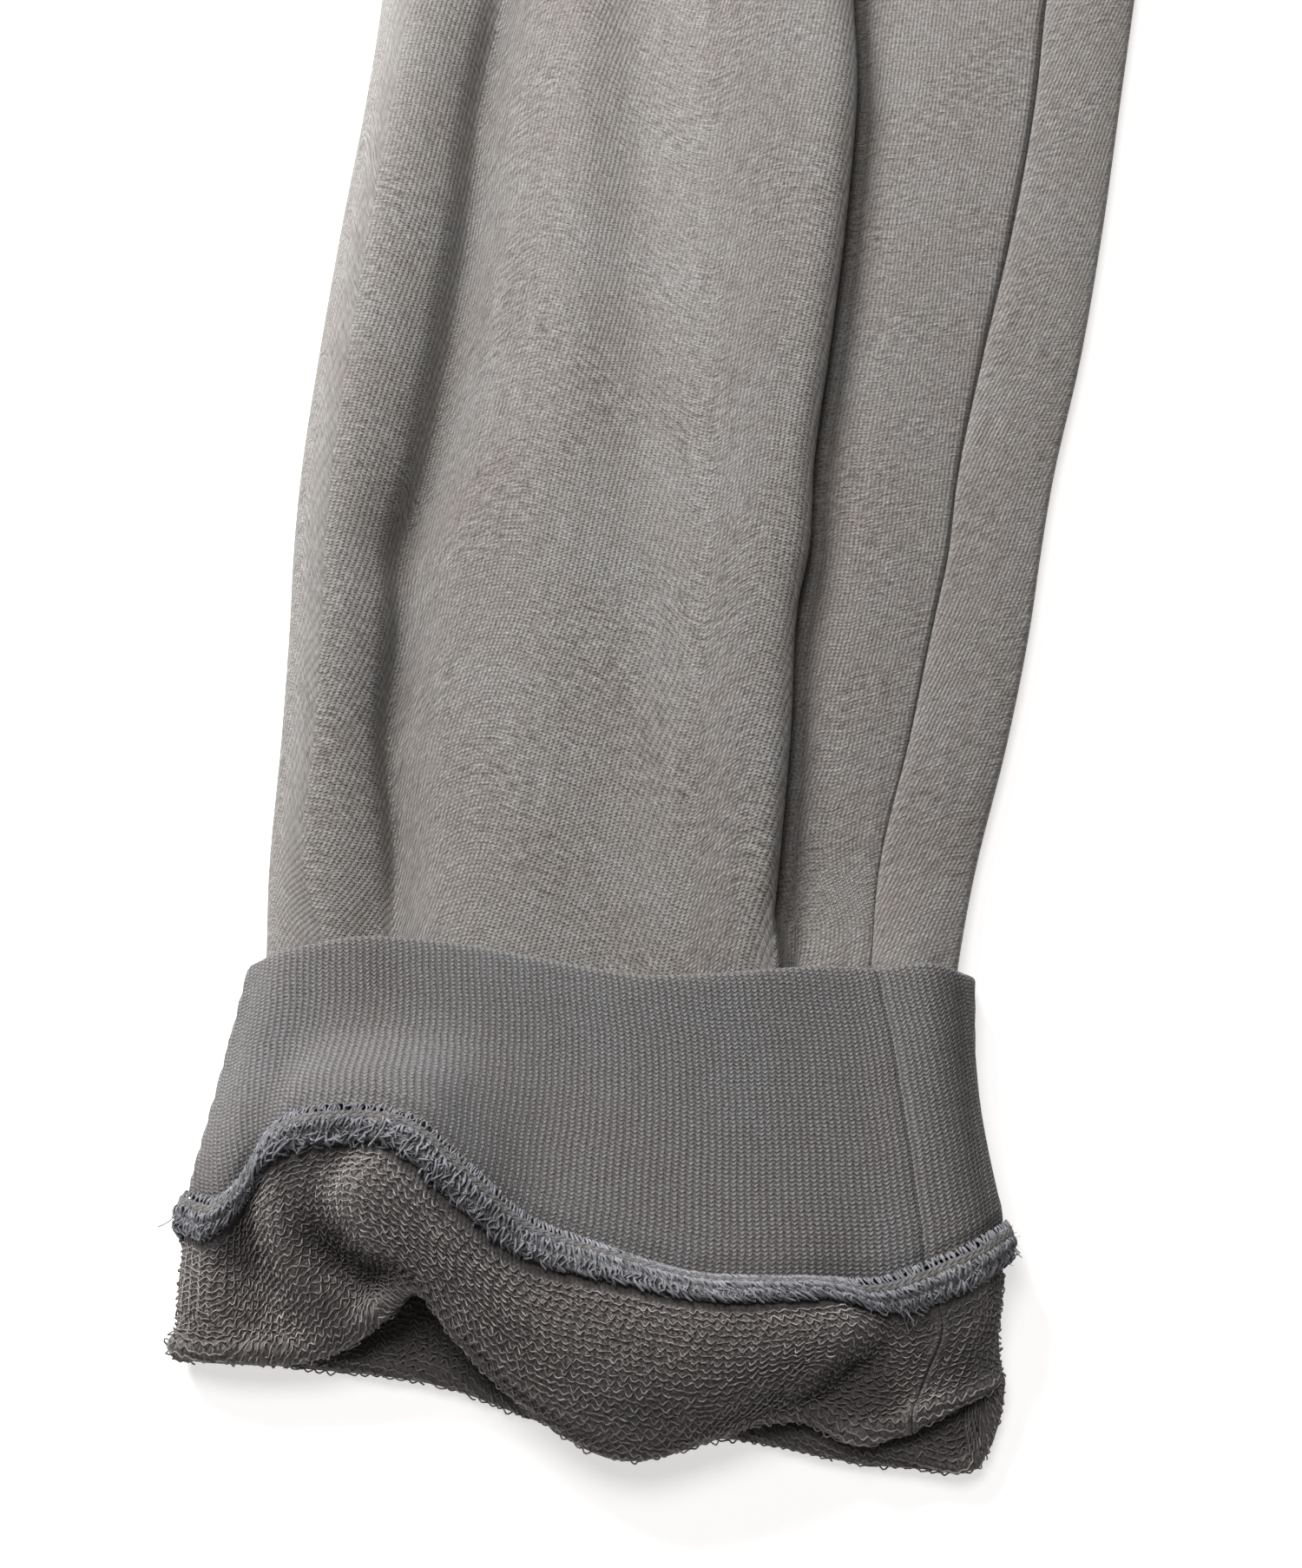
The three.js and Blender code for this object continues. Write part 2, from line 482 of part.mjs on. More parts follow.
// Soft creases raise the upper layer of the plain parts
function creased(p) {
  const rise = softCreases.reduce((sum, c) => {
    const turn = THREE.MathUtils.degToRad(c.turn);
    const [dx, dy] = [p.x - c.x, p.y - c.y];
    const along = (dx * Math.cos(turn) + dy * Math.sin(turn)) / (c.long / 2);
    const aside = (dy * Math.cos(turn) - dx * Math.sin(turn)) / c.wide;
    return sum + c.rise * Math.exp(-(along ** 2) - aside ** 2);
  }, 0);
  const onTop = Math.min(Math.max((p.z - 4) / 1.5, 0), 1);
  return point(p.x, p.y, p.z + rise * onTop);
}

// Each side of a panel is drawn in by half the gap of its seams
function drawnIn(grid) {
  const pulled = (p, q) => p.clone().lerp(q, seamGap / 2 / p.distanceTo(q));
  return grid.map((row) => [
    pulled(row[0], row[1]), ...row.slice(1, -1), pulled(row.at(-1), row.at(-2)),
  ]);
}

// Two panels that meet at their long seams share the cloth's direction there
function sewn(front, back) {
  const [frontNormals, backNormals] = [faceNormals(front), faceNormals(back)];
  const share = (n, m) => {
    n.add(m).normalize();
    m.copy(n);
  };
  front.forEach((row, i) => {
    const joined = row.at(-1).distanceTo(back[i][0]) < seamGap;
    if (joined) share(frontNormals[i].at(-1), backNormals[i][0]);
    share(frontNormals[i][0], backNormals[i].at(-1));
  });
  return {
    front: { grid: drawnIn(front), normals: frontNormals },
    back: { grid: drawnIn(back), normals: backNormals },
  };
}

// The cut lines of the leg's folds carry on above the photo as shares of its width, and fade
function upperLines(folds) {
  const topOf = (tucked) => legRow(legAcross.at(-1), legHeights.at(-1), tucked).front.slice(4);
  const [tucked, plain] = [topOf(true), topOf(false)];
  const share = (points, k) => (points[k].x - points[0].x) / (points.at(-1).x - points[0].x);
  return tucked.map((p, k) => ({
    share: mix(share(plain, k), share(tucked, k), folds),
    rise: (mix(plain[k].z, p.z, folds) - foldBase) * folds,
  }));
}

function rightRows() {
  const outer = ['seam', 'upper', 'lower', 'hem'].map((name) => endRow(name));
  const mouth = [
    endRow('mouth', -mouthFold, mouthFold), endRow('mouth'), endRow('mouth', mouthFold, mouthFold),
  ];
  const inner = ['hem', 'lower', 'upper', 'seam'].map((name) => (
    endRow(name, name === 'seam' ? seamPitch : layerPitch)));
  const leg = legAcross.map((across, k) => legRow(across, legHeights[k]));
  const upper = upperRight.map((row) => plainRow(row, upperLines(row.folds)));
  return (side) => [
    ...[...outer, ...mouth, ...inner, ...leg].map((row) => row[side].map(legToGarment)),
    ...upper.map((row) => row[side]),
  ];
}

function legPanels(rows, columns, rowCounts) {
  const [front, back] = ['front', 'back'].map((side) => (
    net(rows(side), columns[side], rowCounts).map((row) => row.map(creased))));
  return sewn(front, back);
}

// The overlocked allowance lies on the looped side, from just over the cuff seam downwards
function hemAllowance({ front, back }) {
  const around = (part) => allowanceThick.map((_, i) => (
    [...front[part][i], ...back[part][i].slice(1, -1)]));
  const [ring, normals] = [around('grid'), around('normals')];
  ring[0] = ring[0].map((p, j) => p.clone().lerp(ring[1][j], allowanceOver));
  const below = terry / 2 + allowanceGap;
  const inner = offset(ring, normals, -below);
  const outer = offset(ring, normals, (i) => -below - allowanceThick[i]);
  return solid('hem_allowance_right', 'thread', inner, outer, true);
}

// The turned-up cuff: a double rib from its seam to its folded edge
function ribRow(name) {
  const seam = name === 'seam';
  const tables = seam ? [endAcross, endAlong, endHeights] : [ribAcross, ribAlong, ribHeights];
  const [x, y, z] = tables.map((t) => t.find((r) => r.row === name));
  const lines = seam ? endLines : ribLines;
  const along = seam ? ribSeamGap : 0;
  const top = lines.map((line) => point(x[line], y[line] + along, z[line]));
  const [left, right] = [top[0], top.at(-1)];
  const { y: underY, z: underZ } = ribUnder[name];
  const corner = (side, inward) => point(side.x + inward * edgeTurn * cornerTurn,
    mix(side.y, underY + along, 0.5), mix(side.z, underZ, 0.7));
  const under = underShares.map((t) => (
    point(mix(right.x - edgeTurn, left.x + edgeTurn, t), underY + along, underZ)));
  return { top, under: [corner(right, -1), ...under, corner(left, 1)] };
}

function cuffRight() {
  const rows = ['seam', 'low', 'mid', 'top'].map((name) => {
    const { top, under } = ribRow(name);
    const finely = smooth(top, Array(top.length - 1).fill(ribSmoothing));
    return [...evenly(finely, ribColumns), ...under].map(legToGarment);
  });
  const along = rows[0].map((_, j) => smooth(rows.map((row) => row[j]), ribRowCounts));
  const grid = along[0].map((_, i) => along.map((column) => column[i]));
  const normals = faceNormals(grid, true);
  const half = (i) => (i === 0 ? ribAtSeam : rib) / 2;
  const outer = offset(grid, normals, half);
  const inner = offset(grid, normals, (i) => -half(i));
  return solid('cuff_right', 'rib', outer, inner, true);
}

// A flat ring: half its width, its middle, its upper and lower height, and its place up the garment
function flatRing(y, middle, half, upper, lower, topPoints) {
  const turn = (upper - lower) / 2;
  const mid = lower + turn;
  const sweep = (start, end, count, side) => Array.from({ length: count }, (_, k) => {
    const angle = mix(start, end, (k + 0.5) / count);
    return point(middle + side * (half - turn) + turn * Math.cos(angle), y, mid + turn * Math.sin(angle));
  });
  const run = (from, to, z, count) => Array.from({ length: count + 1 }, (_, k) => (
    point(middle + mix(from, to, k / count), y, z)));
  const quarter = Math.PI / 2;
  return [
    ...run(-(half - turn), half - turn, upper, topPoints),
    ...sweep(quarter, -quarter, turnColumns, 1),
    ...run(half - turn, -(half - turn), lower, underColumns),
    ...sweep(-quarter, -3 * quarter, turnColumns, -1),
  ];
}

function cuffLeft() {
  const seam = leftRows[0];
  const middle = (seam.inner + seam.outer) / 2;
  const rows = leftCuffRows.map(({ share, half, upper, shift }) => flatRing(
    seam.y - seamGap - share * cuffTall, middle + shift, half, upper, rib / 2, plainRibColumns));
  return wall('cuff_left', 'rib', { grid: rows, normals: faceNormals(rows, true) }, rib, true);
}

// The waistband: a flat tube whose upper side is drawn into gathers by the elastic inside
function waistband() {
  const topPoints = bandGathers * pointsPerGather;
  const rows = bandRows.map((share) => flatRing(waistSeamY + seamGap + share * waistTall, 0,
    waistHalf, bandUpper, band / 2, topPoints));
  const normals = faceNormals(rows, true);
  const gathered = (i, j) => {
    const inBand = i > 0 && i < rows.length - 1 && j < topPoints;
    return inBand ? gatherRise * Math.sin((2 * Math.PI * j) / pointsPerGather) : 0;
  };
  const upwards = Math.sign(normals[1][1].z);
  const outer = offset(rows, normals, (i, j) => upwards * (band / 2 + gathered(i, j)));
  const inner = offset(rows, normals, -upwards * (band / 2));
  return solid('waistband', 'jersey', outer, inner, true);
}

const rightLeg = legPanels(rightRows(), { front: frontColumns, back: backColumns }, rightRowCounts);
const leftLegRows = leftRows.map((row) => plainRow(row, leftTop));
const leftLeg = legPanels((side) => leftLegRows.map((row) => row[side]),
  { front: leftFrontColumns, back: backColumns }, leftRowCounts);

const sweatpants = new THREE.Group();
sweatpants.add(
  wall('front_right', 'jersey', rightLeg.front, terry),
  wall('back_right', 'jersey', rightLeg.back, terry),
  wall('front_left', 'jersey', leftLeg.front, terry),
  wall('back_left', 'jersey', leftLeg.back, terry),
  hemAllowance(rightLeg),
  cuffRight(),
  cuffLeft(),
  waistband(),
);
sweatpants.position.set(-layoutCentre.x, layoutCentre.y, 0);

export default sweatpants;
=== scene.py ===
"""Jogger sweatpants laid flat, with the right leg's end turned up over itself.

A Blender add-on, run as a script. Lengths in the tables are millimetres in the turned-up leg's own
frame or in the garment's frame, whose origin is the crotch; objects are in metres.
"""
import math

import bmesh
import bpy
import numpy as np
from bpy.props import FloatProperty, FloatVectorProperty, IntProperty, PointerProperty
from mathutils import Matrix, Vector


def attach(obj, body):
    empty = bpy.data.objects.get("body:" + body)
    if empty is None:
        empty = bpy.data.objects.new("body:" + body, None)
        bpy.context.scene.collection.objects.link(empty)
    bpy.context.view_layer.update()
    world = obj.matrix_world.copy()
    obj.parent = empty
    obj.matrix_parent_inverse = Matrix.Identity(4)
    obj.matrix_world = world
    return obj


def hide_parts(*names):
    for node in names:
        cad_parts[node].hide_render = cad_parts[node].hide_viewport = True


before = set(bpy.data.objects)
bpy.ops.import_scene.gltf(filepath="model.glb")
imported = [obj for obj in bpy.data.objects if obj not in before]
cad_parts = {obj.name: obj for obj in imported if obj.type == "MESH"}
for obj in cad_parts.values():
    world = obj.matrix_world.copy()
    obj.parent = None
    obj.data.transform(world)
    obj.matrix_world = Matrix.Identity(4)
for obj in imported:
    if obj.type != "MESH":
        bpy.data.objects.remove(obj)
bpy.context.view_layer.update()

bl_info = {
    "name": "Jogger sweatpants",
    "version": (1, 0, 0),
    "blender": (4, 5, 0),
    "location": "View3D > Sidebar > Sweatpants",
    "description": "Builds looped-jersey sweatpants laid flat with one cuff turned up",
    "category": "Object",
}

MM = 0.001

# Driving dimensions of the cloth, in millimetres
TERRY = 1.5                 # thickness of the looped jersey
RIB = 2.4                   # thickness of the folded rib
BAND = 3.2                  # thickness of the folded waistband
SEAM_GAP = 0.3
LAYER_PITCH = 2.4           # between the middles of two layers that lie on each other
TABLE_LAYER = TERRY / 2     # height of the middle of the lowest layer
SEAM_PITCH = 2.9            # between layers where the cuff seam is thick
SIDE_LAYER = 1.2            # times as much at the side edges
ROLL_IN = 4.5               # from the side edge to where its roll flattens
MOUTH_FOLD = 1.25           # radius of the fold at the turned-up mouth
FOLD_BASE = 7.0             # height that the upper leg's folds rise and sink from

# Driving dimensions of the garment, in millimetres
CROTCH_IN_LEG = (172.0, 595.0)
LEG_TURN = math.radians(5.0)
LAYOUT_MIDDLE = 207.5       # from the crotch to the middle of the garment
OUTSEAM_INSET = 17.0
CUFF_TALL = 53.0
WAIST_TALL = 40.0
WAIST_SEAM_Y = 250.0
WAIST_HALF = 196.0
BAND_GATHERS = 36


def table(names, rows):
    """Rows of numbers as dictionaries keyed by the column names."""
    return [dict(zip(names, row)) for row in rows]


# Where each line of the turned-up leg's cloth lies across it: y from the mouth, then each x
LEG_LINES = ["leftEdge", "rollCrest", "rollFoot", "valley", "midRise", "middle", "dip",
             "foldRise", "foldCrest", "foldEdge", "panel", "inseam", "rightRoll", "rightEdge"]
LEG_ACROSS = table(["y"] + LEG_LINES, [
    [66, -69.5, -58, -50, -46, -38, -25, -8, 6, 15, 21, 31, 38, 45.5, 51.8],
    [87, -69.5, -58.5, -51, -47, -39, -25, -8, 6, 15.6, 22, 31.7, 40, 48, 55.2],
    [105, -70.6, -63.5, -51.3, -48, -38, -25, -6.4, 8, 17, 22.8, 33, 42.2, 51, 59.5],
    [132, -70.2, -63, -54.5, -51, -38.5, -24, -3.3, 9, 18.7, 25.7, 37.5, 49.3, 59, 67.5],
    [159, -70.3, -63.2, -54, -49.8, -36.5, -20.2, -1, 11, 20.4, 27.8, 40.5, 55.8, 65.7, 74.2],
    [171, -70.6, -63.6, -55, -50.5, -37, -18.7, -1.4, 11.8, 22, 30.3, 42.6, 58.8, 68.5, 76.6],
    [189, -70.4, -63.2, -52, -46.5, -33.5, -19, -2, 12.4, 23.2, 31.7, 44.6, 61.8, 72.3, 80.5],
    [219, -68.5, -61.2, -48.3, -42.5, -29.5, -17, -3, 13.2, 25.6, 36.2, 49.5, 69, 79.8, 88.7],
    [252, -65.7, -58.4, -45.2, -39.3, -27, -15.5, -3.3, 13.6, 28.2, 40.8, 55, 77.6, 87.7, 96.2],
    [287, -62.2, -55, -43, -37.6, -26, -15, -3.6, 14, 30.4, 44.3, 60, 85, 94.7, 103.2],
    [312, -60.4, -53.2, -40, -34, -24, -14, -3.9, 14.4, 30.7, 44.5, 61.5, 89, 99.2, 108.2],
])

# How high each line lies at the same places
LEG_HEIGHTS = table(["y"] + LEG_LINES, [
    [66, 5, 10, 8.5, 7.8, 8.5, 9, 9, 9.8, 9.8, 9, 8, 8, 8, 5],
    [87, 4.6, 10, 8, 7, 8, 9, 9, 10.3, 10.6, 10.1, 6.2, 6.8, 7.4, 4.8],
    [105, 3, 9.6, 7.2, 3.8, 6.6, 8.9, 8.8, 10.6, 11.2, 9.6, 5.2, 5.3, 5.2, 3],
    [132, 3, 9.8, 7.6, 3.2, 6, 8.6, 8.8, 11, 11.9, 10, 6, 5, 4.8, 3],
    [159, 3, 10, 7.8, 2.9, 6, 8.6, 8.6, 11.3, 12.4, 10.4, 6.2, 4.8, 4.6, 3],
    [171, 3, 10, 7.8, 2.8, 6, 8.7, 8.4, 11.4, 12.6, 10.5, 6.2, 4.8, 4.6, 3],
    [189, 3, 10.2, 8, 2.8, 6, 8.7, 8.1, 11.5, 12.8, 10.6, 6.2, 4.8, 4.6, 3],
    [219, 3, 10.4, 8.2, 3, 6, 8.6, 7.6, 11.7, 13, 10.7, 6.2, 4.8, 4.7, 3],
    [252, 3, 10.4, 8.2, 3.2, 6, 8.4, 7.2, 11.7, 13, 10.7, 6.2, 4.9, 4.8, 3],
    [287, 3, 10.2, 8, 3.6, 6, 8.2, 6.9, 11.6, 12.9, 10.6, 6, 5, 4.9, 3],
    [312, 3, 10, 8, 4, 6.2, 8.1, 6.8, 11.4, 12.6, 10.4, 5.9, 5, 5, 3],
])

# The turned-up end: rows from the cuff seam to the mouth fold, as x, y and z of each line
END_LINES = ["leftEdge", "strip", "hollow", "crest", "rim", "hump", "humpSlope", "bulgeLeft",
             "bulge", "bulgeRight", "edge", "floor", "panel", "inseam", "rightRoll", "rightEdge"]
END_ROWS = ["seam", "upper", "lower", "hem", "mouth"]
END_ACROSS = table(END_LINES, [
    [-79.5, -74, -68.5, -62.5, -52.5, -41.5, -31.3, -21.5, -7, 10, 25, 33, 39, 46, 53, 60],
    [-80, -75, -69, -62.7, -56.7, -47.7, -35.8, -23.7, -5, 15, 33, 38.5, 43, 48.5, 53.5, 59],
    [-80.3, -73.5, -64.8, -58.5, -52.5, -45.4, -32.8, -21.3, -4.5, 12, 26, 32, 38.5, 46, 52, 58],
    [-80.3, -72.3, -62.5, -53.4, -47.5, -41.3, -31.5, -21.4, -4.5, 10, 21.5, 28, 36, 44, 50.5, 58],
    [-80.3, -71, -59.2, -50.8, -44.9, -38.7, -31.4, -21.6, -4, 8.5, 17.5, 24, 35, 43, 49.5, 57.5],
])
END_ALONG = table(END_LINES, [
    [44, 42, 48, 54, 56, 54, 46, 38, 33, 29, 29, 29, 29, 31, 34, 39],
    [36, 34.4, 38.1, 39.8, 40.6, 42.7, 38.6, 31.1, 24, 22, 22, 22, 22, 23, 24, 27],
    [28, 26.9, 28.7, 31.6, 33.8, 34.9, 28.7, 19.8, 12.5, 13, 15.5, 16, 14, 16, 18.5, 21.5],
    [23, 21.6, 22.7, 25.8, 29.3, 32, 23.3, 13.9, 6.8, 8.5, 11.5, 12.3, 9, 11, 14, 17.5],
    [19, 17.9, 17.9, 20.4, 24.4, 28.1, 20.2, 11.3, 2.3, 5, 8, 8.6, 4.8, 7, 10, 14],
])
END_HEIGHTS = table(END_LINES, [
    [7.4, 11, 14.8, 19, 23, 24, 22, 18.5, 16.5, 15.5, 14.5, 13, 13, 13, 12.5, 7],
    [5, 9.5, 8.6, 17, 16.5, 25.5, 23, 19, 18.5, 17, 15.5, 11.6, 11.2, 11.4, 11, 5],
    [4.2, 8.6, 7.4, 14.5, 9.6, 21.5, 21, 18, 17, 15.8, 13.5, 8.9, 8.6, 8.8, 8.7, 4.6],
    [4.2, 7.9, 7.4, 11.6, 9, 19.5, 18, 14.5, 13.5, 12, 10.8, 7.9, 7.8, 7.9, 7.9, 4.4],
    [4.2, 7, 6.9, 8.6, 11.5, 17.5, 14.5, 10.5, 8.8, 8.6, 8.4, 7, 6.8, 6.8, 6.8, 4.2],
])
# The underside's cloth in each row: its share of the way from the seam to the mouth, and height
END_UNDER = table(["share", "z"], [
    [0, 3.3], [0.36, 3.1], [0.72, TABLE_LAYER], [0.88, TABLE_LAYER], [1, 2],
])
# The lower layer's mouth edge on the table
TABLE_MOUTH = table(["x", "y"], [
    [-81, 19], [-67, 18], [-52, 18], [-40, 16], [-28, 12], [-16, 7], [-1, 7], [15, 6], [31, 4],
    [44, 1], [54, 0], [59, 12],
])
TABLE_SEAM_Y = 37.0

# The rib turned up over the leg: rows from its seam to its folded edge
RIB_LINES = ["leftEdge", "r1", "r2", "r3", "r4", "r5", "r6", "r7", "r8", "r9", "r10", "r11",
             "r12", "r13", "r14", "rightEdge"]
RIB_ACROSS = table(RIB_LINES, [
    [-78, -71, -65, -59, -51, -39, -30, -20, -6, 8, 21, 30, 38, 44, 52, 58.4],
    [-75, -68, -61, -55, -47, -36, -26, -16, -4, 9, 21, 31, 38, 43, 50.5, 56.8],
    [-72.4, -65, -58, -52, -44, -33, -23, -13, -2, 10, 22, 31, 37, 42, 50, 57.6],
])
RIB_ALONG = table(RIB_LINES, [
    [53, 53, 58, 62, 62, 61, 56, 50, 46, 43, 42, 42, 43, 43, 45, 49],
    [70, 70, 71, 72, 72, 71, 69, 66, 64, 63, 63, 63, 64, 64, 65, 66],
    [86, 87, 88, 89, 89, 88, 86, 84, 82, 82, 83, 84, 84, 84, 85, 84],
])
RIB_HEIGHTS = table(RIB_LINES, [
    [7, 14, 16.6, 19, 21.5, 21, 18.5, 16, 15, 14.5, 14, 13.5, 13, 13, 12, 7],
    [6, 13, 14.5, 15.5, 15.5, 14.5, 13.5, 13, 13.3, 13.5, 13.5, 12.8, 12, 12, 11.4, 6],
    [5.5, 12, 13.6, 13.8, 12.6, 12, 12.2, 12.5, 13.4, 14, 13.6, 12, 11, 10.8, 10.5, 5.5],
])
RIB_UNDER = table(["y", "z"], [[TABLE_SEAM_Y, 3.3], [50, 1.4], [66, 1.2], [86, 1.2]])
RIB_SEAM_GAP = 1.3
RIB_AT_SEAM = 1.4
RIB_KNOTS = 44

# The right half above the photographed leg: edges, inseam, loft and what is left of the folds
UPPER_RIGHT = table(["y", "outer", "inner", "inseamIn", "loft", "folds"], [
    [-235, -214, -33, 17, 6, 0.9],
    [-170, -231, -24, 14, 6, 0.6],
    [-100, -253, -14, 10, 6, 0.3],
    [-35, -272, -4.5, 6.5, 5.6, 0.12],
    [0, -278, -1.2, 0, 5.4, 0.06],
    [30, -279, -0.5, 0, 5.2, 0],
    [100, -270, -0.15, 0, 5.4, 0],
    [180, -247, -0.15, 0, 5.6, 0],
    [250, -200, -0.15, 0, 6, 0],
])
# The left half, worn down: rows from the cuff seam to the waist
LEFT_ROWS = table(["y", "inner", "outer", "inseamIn", "loft"], [
    [-652, 77, 194, 17, 7],
    [-640, 73, 197, 17, 7],
    [-600, 64, 204, 17, 6.5],
    [-500, 56, 210, 17, 6],
    [-400, 46, 216, 17, 6],
    [-300, 36, 224, 17, 6],
    [-200, 25, 234, 15, 6],
    [-100, 13, 254, 10, 6],
    [-35, 4.5, 272, 6.5, 5.6],
    [0, 1.2, 278, 0, 5.4],
    [30, 0.5, 279, 0, 5.2],
    [100, 0.15, 270, 0, 5.4],
    [180, 0.15, 247, 0, 5.6],
    [250, 0.15, 200, 0, 6],
])
# Soft creases of the plain parts: middle, length and width, turn in degrees, height
SOFT_CREASES = table(["x", "y", "long", "wide", "turn", "rise"], [
    [130, -560, 150, 14, 84, 2.2],
    [160, -585, 110, 12, 96, 1.8],
    [105, -470, 190, 16, 98, 2.4],
    [170, -380, 230, 18, 86, 2],
    [120, -250, 200, 20, 95, 1.8],
    [60, -60, 150, 18, 38, 2.4],
    [95, -20, 170, 20, 24, 2],
    [-60, -60, 150, 18, 142, 2.4],
    [-105, -15, 170, 20, 156, 1.8],
    [-175, -60, 180, 22, 100, 1.6],
    [-120, 130, 160, 22, 74, 1.6],
    [150, 120, 170, 24, 104, 1.6],
    [215, -90, 190, 20, 82, 2],
])
LEFT_TOP = table(["share", "rise"], [
    [0, -0.2], [0.1, 0.9], [0.24, 0.6], [0.4, -0.4], [0.56, -0.6], [0.72, -0.2], [0.9, 0.8], [1, 0],
])
LEFT_CUFF_ROWS = table(["share", "half", "upper", "shift"], [
    [0, 58, 6.9, 0], [0.35, 57, 6.2, -0.7], [0.7, 57, 5.8, -1.4], [1, 57.5, 5.4, -2],
])

# The fold that lies over the floor: from its edge back under itself and out along the floor
FOLD_STEPS = table(["back", "drop"], [
    [0.3, -0.22], [0, 0.06], [0.33, 0.27], [0.8, 0.38], [1, 0.62], [0.8, 0.87],
])
STEPS_TO_EDGE = [0.45, 0.8, 1]
STEPS_TO_FLOOR = [0.3, 0.55, 0.8]
EDGE_ROUNDING = 0.1
FLOOR_BEYOND_EDGE = 3.5
FLOOR_BELOW_PANEL = 0.3
LEG_DEPTHS = table(["y", "tuck", "under"], [
    [66, 0, 3.6], [87, 0, 3.6], [105, 3.6, 0.9], [132, 5, TABLE_LAYER], [312, 5.5, TABLE_LAYER],
])

# The sides of the tube, where it turns under itself
EDGE_TURN = 2.4
CORNER_TURN = 0.3
UNDER_SHARES = [0, 0.12, 0.34, 0.56, 0.78, 1]
SIDE_EDGE_Z = 2.9
SIDE_TURN_RISE = 1.6
SEAM_TURN_RISE = 1.4
FIRST_TOP_SHARE = 7
CROTCH_OPEN = 0.135
OPEN_BACK = table(["inset", "drop"], [[0, 0], [0.4, 0.4], [1, 0.75], [2.2, 0.95], [5, 1]])
SIDE_SEAMS = table(["y", "inset"], [[-300, OUTSEAM_INSET], [0, 9], [200, 5], [251, 5]])

UNDERSIDE_AWAY = 1000.0     # added to a distance, it leaves the underside out of a search

# The waistband
BAND_UPPER = 6.8
BAND_ROWS = [0, 0.15, 0.85, 1]
BAND_ROW_COUNTS = [2, 8, 2]
BAND_TURN_POINTS = 6
BAND_UNDER_POINTS = 120
GATHER_POINTS = 12
GATHER_RISE = 0.5
GATHER_WAVERS = table(["share", "long", "lean"], [[0.35, 31, 0], [0.25, 13, 3]])
ELASTIC_STITCHES = [0.3, 0.7]      # heights of two rows, as shares of the band's
STITCHES_WIDE = 0.03
STITCHES_DEPTH = 0.5

# How many stretches the solids have between lines and between rows; the cloth here is finer
FRONT_COLUMNS = [1, 1, 1, 1, 2, 2, 2, 1, 2, 2, 1, 2, 1, 1, 1, 1, 1, 1, 2, 2]
BACK_COLUMNS = [2, 1, 1, 1, 1, 1, 2, 2, 1]
RIGHT_ROWS = [4, 2, 1, 1, 1, 1, 1, 1, 1, 1, 2, 1, 1, 1, 1, 1, 1, 1, 2, 2, 2, 1, 2, 2, 2,
              2, 1, 1, 2, 2]
LEFT_FRONT_COLUMNS = [1, 1, 1, 1, 1, 1, 1, 2, 2, 2, 1]
LEFT_ROW_COUNTS = [1, 2, 2, 2, 2, 2, 2, 2, 1, 1, 2, 2, 2]
RIGHT_FINENESS = (5, 5)     # times as fine across and along as the solids
LEFT_FINENESS = (5, 6)


# Curves and nets

def mix(a, b, t):
    return a + (b - a) * t


def smooth(knots, counts):
    """Curve through the knots along the first axis, with so many points on each stretch."""
    step = np.diff(knots, axis=0)
    gaps = np.maximum(np.linalg.norm(step, axis=-1, keepdims=True), 1e-3)
    speeds = step / gaps
    inner = (speeds[:-1] * gaps[1:] + speeds[1:] * gaps[:-1]) / (gaps[:-1] + gaps[1:])
    slopes = np.concatenate([speeds[:1], inner, speeds[-1:]])
    points = [knots[:1]]
    for k, count in enumerate(counts):
        t = (np.arange(1, count + 1) / count).reshape((-1,) + (1,) * (knots.ndim - 1))
        points.append(knots[k] * (1 + 2 * t) * (1 - t) ** 2
                      + slopes[k] * gaps[k] * t * (1 - t) ** 2
                      + knots[k + 1] * t * t * (3 - 2 * t)
                      + slopes[k + 1] * gaps[k] * t * t * (t - 1))
    return np.concatenate(points)


def net(rows, column_counts, row_counts):
    """Smooth net from rows of knots, by columns and then by rows: an array of points."""
    across = smooth(np.swapaxes(np.array(rows), 0, 1), column_counts)
    return smooth(np.swapaxes(across, 0, 1), row_counts)


def travelled(points, axis=0):
    """Distance along a line of points from its first one."""
    steps = np.linalg.norm(np.diff(points, axis=axis), axis=-1)
    start = np.zeros_like(np.take(steps, [0], axis=axis))
    return np.cumsum(np.concatenate([start, steps], axis=axis), axis=axis)


def at_distances(points, distances, along=None):
    """Points, and anything else listed with them, at the given distances along a line."""
    reach = travelled(points[:, :3]) if along is None else along
    return np.stack([np.interp(distances, reach, column) for column in points.T], axis=1)


def unit(vectors):
    return vectors / np.maximum(np.linalg.norm(vectors, axis=-1, keepdims=True), 1e-9)


def face_normals(grid, closed=False):
    """The cloth's face side at each point of a net."""
    if closed:
        across = np.roll(grid, -1, axis=1) - np.roll(grid, 1, axis=1)
    else:
        across = np.gradient(grid, axis=1)
    return unit(np.cross(across, np.gradient(grid, axis=0)))


def on_table(grid, lowest=0.0):
    """The underside is pressed flat on the table."""
    grid[..., 2] = np.maximum(grid[..., 2], lowest)
    return grid


def leg_to_garment(points):
    """From the turned-up leg's own frame to the garment's, whose origin is the crotch."""
    points = np.array(points, dtype=float)
    dx = points[..., 0] - CROTCH_IN_LEG[0]
    dy = points[..., 1] - CROTCH_IN_LEG[1]
    return np.stack([dx * math.cos(LEG_TURN) - dy * math.sin(LEG_TURN),
                     dx * math.sin(LEG_TURN) + dy * math.cos(LEG_TURN), points[..., 2]], axis=-1)


